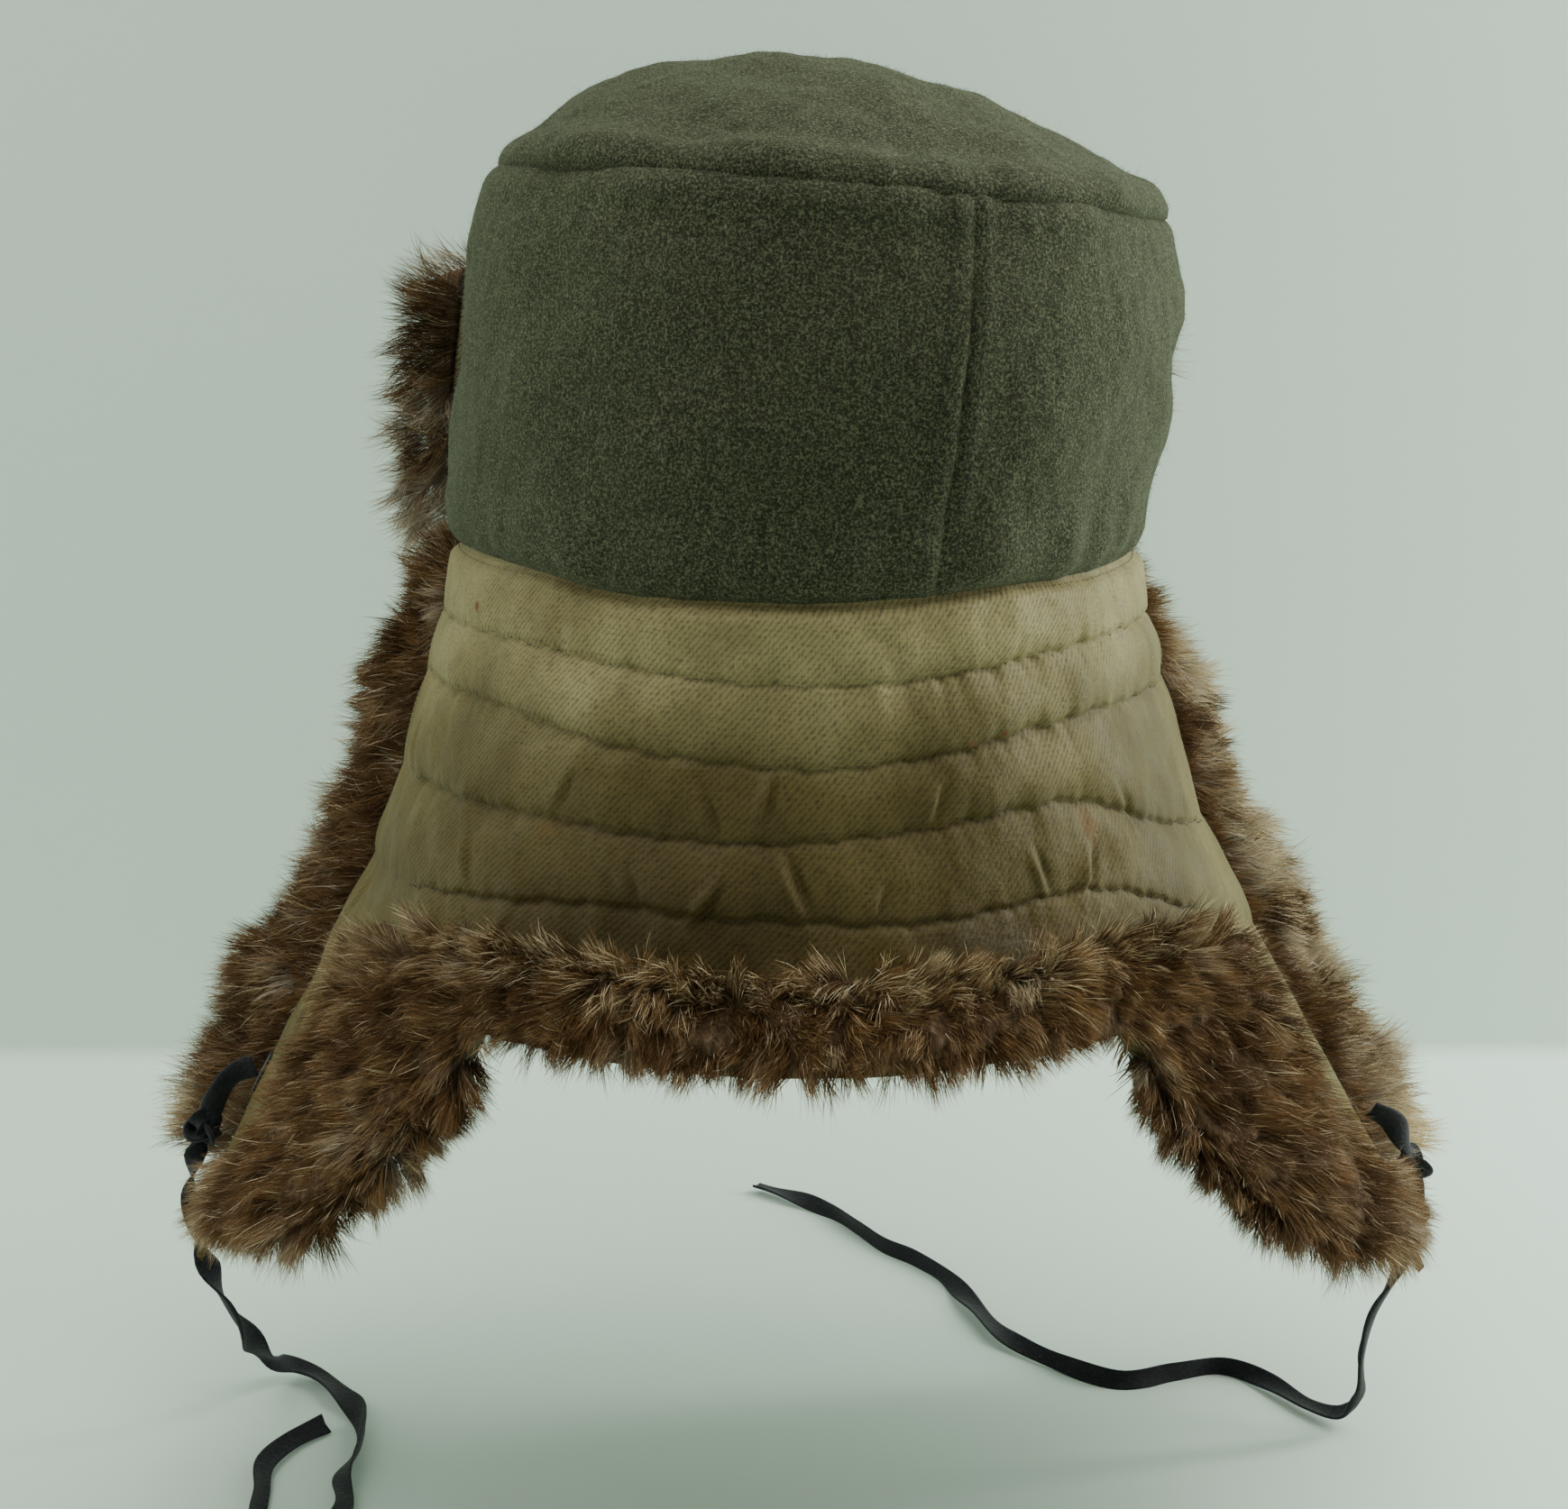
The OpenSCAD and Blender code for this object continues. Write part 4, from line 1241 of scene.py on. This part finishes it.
def front_fur():
    """Fur on the flap's outer face, which also hangs over its top and its two ends."""
    rng = np.random.default_rng(180)
    top = FRONT_H + 4
    low_a, high_a = FRONT_MID - FRONT_HALF - 1, FRONT_MID + FRONT_HALF + 1
    a = rng.uniform(low_a, high_a, HAIRS)
    z = rng.uniform(-2, top, HAIRS)
    at_end = rng.uniform(size=HAIRS) < 0.16
    a = np.where(at_end, np.where(a < FRONT_MID, low_a, high_a), a)
    end = np.minimum(a - low_a, high_a - a) * 1.9
    rise = top - z
    keep = np.hypot(np.maximum(0, 16 - end), np.maximum(0, 16 - rise)) < 16.01
    keep |= at_end & (rise > 7)
    a, z, end, rise, at_end = a[keep], z[keep], end[keep], rise[keep], at_end[keep]
    off = FRONT_GAP + 7 + 12 * edge_roll(np.minimum(end, rise), 9)
    off = np.where(at_end, FRONT_GAP + rng.uniform(2, 19, len(a)), off)
    p = wall(a, z, off)
    out, around = unit(wall(a, z, off + 2) - p), unit(wall(a + 0.3, z, off) - p)
    to_end = np.sign(a - FRONT_MID) * np.exp(-end / 7.0)
    fringe = 0.45 * np.exp(-np.minimum(end, rise) / 6.0) + 0.15 * at_end
    upright = (0.75 * np.exp(-rise / 10.0) - 0.45 * np.exp(-np.maximum(z, 0) / 14)
               - 0.45 * np.exp(-end / 8.0) * smooth(rise, 8, 24))
    lean = combine((out, 1 - fringe), (around, 0.95 * to_end),
                   (np.array([0, 0, 1.0]), upright))
    length = (13.5 + 2.0 * waves(p, 24, 16)) * (1 + 0.2 * at_end)
    tint = coat_tint(p, rng, 0.3 + 0.2 * (1 - smooth(z, 0, 35)), 0.2, 0.06, 30, 94)
    fur_piece("front_flap_fur", "front_flap", p, lean, length, tint, 270, droop=-0.05)


def front_underfur():
    half, low, high = FRONT_HALF - 0.4, 2.5, FRONT_H + 1.5
    a, z = sheet(FRONT_MID - half, FRONT_MID + half, 150, high, low, 44)
    free = free_edge(a, FLAP_STEP, high - z, z - low)
    p = wall(a, z, 0)
    lump = 0.8 + 0.2 * waves(p, 15, 17) + 0.1 * waves(p, 6, 18)
    outer = wall(a, z, FRONT_GAP + 6.4 + 13 * lump * edge_roll(np.maximum(0.02, free), 9))
    core = shell("front_flap_underfur", outer, wall(a, z, FRONT_GAP + 6.3), UNDERFUR,
                 crease=False)
    attach(core, "front_flap", "fur", "front_pelt")


def front_binding():
    a, z = sheet(PELT_FRONT + 2, 358 - PELT_FRONT, 150, 1.5, -4.1, 18)
    roll = edge_roll(4.1 + z + 0.001, 3)
    outer = wall(a, z, -4.5 + (4.3 + 0.3 * waves(wall(a, z, 0), 12, 19)) * roll)
    inner = wall(a, z, -4.5 - 3.6 * roll)
    piece = shell("front_binding_cloth", outer, inner, COTTON)
    attach(piece, "crown", "cotton", "front_binding")


# ---- the inside ----

LINING_PLEATS = 46
ALL_ROUND = (0, 358.8, 300)


def side_lining():
    a, z = sheet(*ALL_ROUND, RIM_H - 9, 1.5, 60)
    p = wall(a, z, 0)
    ripple = np.sin(np.radians(a) * LINING_PLEATS + 1.5 * waves(p, 60, 40)) * smooth(z, 20, 50)
    inner = wall(a, z, -8.6 - 0.4 * waves(p, 30, 41) - np.abs(0.5 * ripple) * 0.8)
    return shell("side_lining_cloth", wall(a, z, -7.9), inner, LINING, closed=True)


def top_lining():
    a = np.linspace(*ALL_ROUND)
    r = np.concatenate([[0.995], np.linspace(0.97, 0.02, 40)])[:, None]
    gathers = (np.sin(np.radians(a) * LINING_PLEATS) * np.exp(-(1 - r) * 5)
               + 0.6 * waves(dome(a, r), 26, 42))
    outer, inner = dome(a, r * 0.94, -8.2), dome(a, r * 0.93, -9.4 - 0.7 * np.abs(gathers))
    return shell("top_lining_cloth", outer, inner, LINING, closed=True)


def sweatband():
    a, z = sheet(*ALL_ROUND, 30, 0.6, 34)
    p = wall(a, z, 0)
    lip = 1.2 * bell(z, 29, 1.2) + 0.8 * bell(z, 1.5, 1.5) - 0.7 * bell(z, 26.5, 0.7)
    inner = wall(a, z, -10.3 - 0.45 * waves(p, 34, 43) - 0.2 * waves(p, 9, 44) - lip * 0.6)
    return shell("sweatband_leather", wall(a, z, -9.2), inner, LEATHER, closed=True)


def inside():
    attach(side_lining(), "crown", "lining", "lining_side")
    attach(top_lining(), "crown", "lining", "lining_top")
    attach(sweatband(), "crown", "sweatband", "sweatband")


# ---- small things ----

TAB_A = 84
TAB_D = {"left": 153, "right": 168}
TAB_L, TAB_W = 5.2, 4.0


def tie_tab(side):
    """A sewn-down end of tape, on the cover's front edge, and the frayed threads round it."""
    drop = TAB_D[side]
    v, u = sheet(-TAB_W, TAB_W, 20, -TAB_L, TAB_L, 26)
    step = mm_per_degree(drop)
    points, normal = covering(side, SIGN[side] * (TAB_A + v / step), drop + u)
    edge = edge_roll(np.minimum(TAB_L - np.abs(u), TAB_W - np.abs(v)) + 0.01, 0.8)
    lift = 0.5 + 0.85 * edge + 0.25 * waves(points, 6, 45)
    outer = points + normal * lift[..., None]
    piece = shell(side + "_tape_tab", outer, points - normal * 0.8, TAPE)
    attach(piece, BODIES[side], "tape", side + "_tie_tab")
    rng = np.random.default_rng(300)
    count = 90 if side == "left" else 24
    at = rng.uniform(-1, 1, (count, 2)) * (4.6, 3.2) + (-3.0, 0.0)
    roots, out = covering(side, SIGN[side] * (TAB_A + at[:, 1] / step), drop + at[:, 0])
    fur_piece(side + "_frayed_threads", BODIES[side], roots + out,
              out * 0.7 + rng.normal(0, 0.6, (count, 3)), rng.uniform(2.0, 5.0, count),
              np.full(count, 0.5), 301, width=0.35, clump=3, pull=0.2, droop=0.3, wild=0.5,
              slot="tape", material=PALE_THREAD)


def wool_fuzz():
    """Loose fibres standing off the felt, which show along its outline."""
    rng = np.random.default_rng(400)
    a = rng.uniform(-180, 180, 20000)
    z = rng.uniform(1.5, RIM_H - 1, 20000)
    h = wool_relief(a, z)
    p, q = wall(a, z, h), wall(a, z, h + 1)
    r = np.sqrt(rng.uniform(0, 1, 13000))
    b = rng.uniform(-180, 180, 13000)
    h = top_relief(b, r)
    top, over = dome(b, r, h), dome(b, r, h + 1)
    roots = np.vstack([p, top])
    lean = np.vstack([q - p, over - top + 0.4 * around_axis(b, 1.0)])
    count = len(roots)
    lean = lean + rng.normal(0, 0.75, (count, 3))
    length = rng.uniform(0.9, 2.0, count) * np.where(rng.uniform(size=count) < 0.015, 2.6, 1)
    fur_piece("crown_wool_fibres", "crown", roots, lean, length, np.full(count, 0.5), 401,
              width=0.07, pull=0.0, droop=0.1, wild=0.5, slot="wool", material=FIBRE)


def crown_stitches():
    """Two rows beside the back seam, and a row that joins the wool's edge to the curtain."""
    paths = []
    z = np.linspace(4, RIM_H - 3, 200)
    for shift in (5.6, -3.0):
        a = back_seam(z) + np.degrees(shift / 96)
        h = wool_relief(a, z)
        p = wall(a, z, h)
        paths.append((p, unit(wall(a, z, h + 1) - p)))
    attach(stitches("back_seam_stitches", paths, 2.2, 0.3, DARK_THREAD), "crown", "wool")
    a = np.linspace(-86, 86, 500)
    p, out = covering("neck", a, 1.1 - hem_z(a))
    hem = stitches("hem_stitches", [(p + out * 0.15, out)], 2.2, 0.3, DARK_THREAD)
    attach(hem, "crown", "wool")


neck_trim()
neck_pelt()
for flap in ("left", "right"):
    ear_trim(flap)
    ear_pelt(flap)
    tie_tab(flap)
front_cover()
front_fur()
front_underfur()
front_binding()
inside()
wool_fuzz()
crown_stitches()

# ---- stage and lights ----

REACH = 6000.0
WALL_Y, WALL_TOP = -285.0, 1700.0
SWEEP_R = 8.0


def sweep(name, y, z, material):
    """A sheet that runs far to both sides, over points (y, z)."""
    grid = np.stack(together(np.array([[-REACH, REACH]]), np.array(y)[:, None],
                             np.array(z)[:, None]), -1)
    piece = build(name, grid.reshape(-1, 3), grid_quads(len(y), 2, turned=True), material)


def stage():
    """A pale table, and a pale wall behind the hat that shows only from the hat's side."""
    t = np.linspace(0, math.pi / 2, 12)
    edge = WALL_Y + SWEEP_R
    sweep("table", (REACH, edge, -REACH), (FLOOR_Z,) * 3, stage_material("table"))
    sweep("backdrop", (*(edge - SWEEP_R * np.sin(t)), WALL_Y),
          (*(FLOOR_Z + SWEEP_R * (1 - np.cos(t))), WALL_TOP), stage_material("backdrop", True))


SOFT = (0.98, 1.0, 0.97)
LAMPS = (
    ("overhead_softbox", (0.0, -0.05, 1.35), (0, 0, 0), (2.2, 1.6), 37, (0.97, 1.0, 0.97)),
    ("right_softbox", (-1.2, -0.08, 0.4), (0, 0.05, -0.05), (0.7, 1.2), 14, SOFT),
    ("left_softbox", (1.25, 0.0, 0.35), (0, 0.05, -0.05), (0.7, 1.2), 6, SOFT),
    ("wall_light", (-0.95, -0.16, 0.35), (-0.3, -0.285, 0.1), (0.1, 0.9), 6, (0.98, 1.0, 0.98)),
    ("front_fill", (0.3, 1.5, -0.1), (0, 0, -0.1), (1.4, 0.5), 2.5, SOFT),
)


def lamp(name, place, target, size, power, colour):
    """A soft rectangular light, with places and sizes in metres and power in watts."""
    data = bpy.data.lights.new(name, "AREA")
    data.shape = "RECTANGLE"
    data.size, data.size_y = size
    data.energy = power
    data.color = colour
    piece = bpy.data.objects.new(name, data)
    piece.location = place
    piece.rotation_euler = (Vector(target) - Vector(place)).to_track_quat("-Z", "Y").to_euler()
    bpy.context.scene.collection.objects.link(piece)


def sky():
    world = bpy.data.worlds.new("studio")
    world.use_nodes = True
    background = world.node_tree.nodes["Background"]
    background.inputs["Color"].default_value = (0.9, 0.95, 0.89, 1)
    background.inputs["Strength"].default_value = 0.2
    bpy.context.scene.world = world


stage()
for values in LAMPS:
    lamp(*values)
sky()
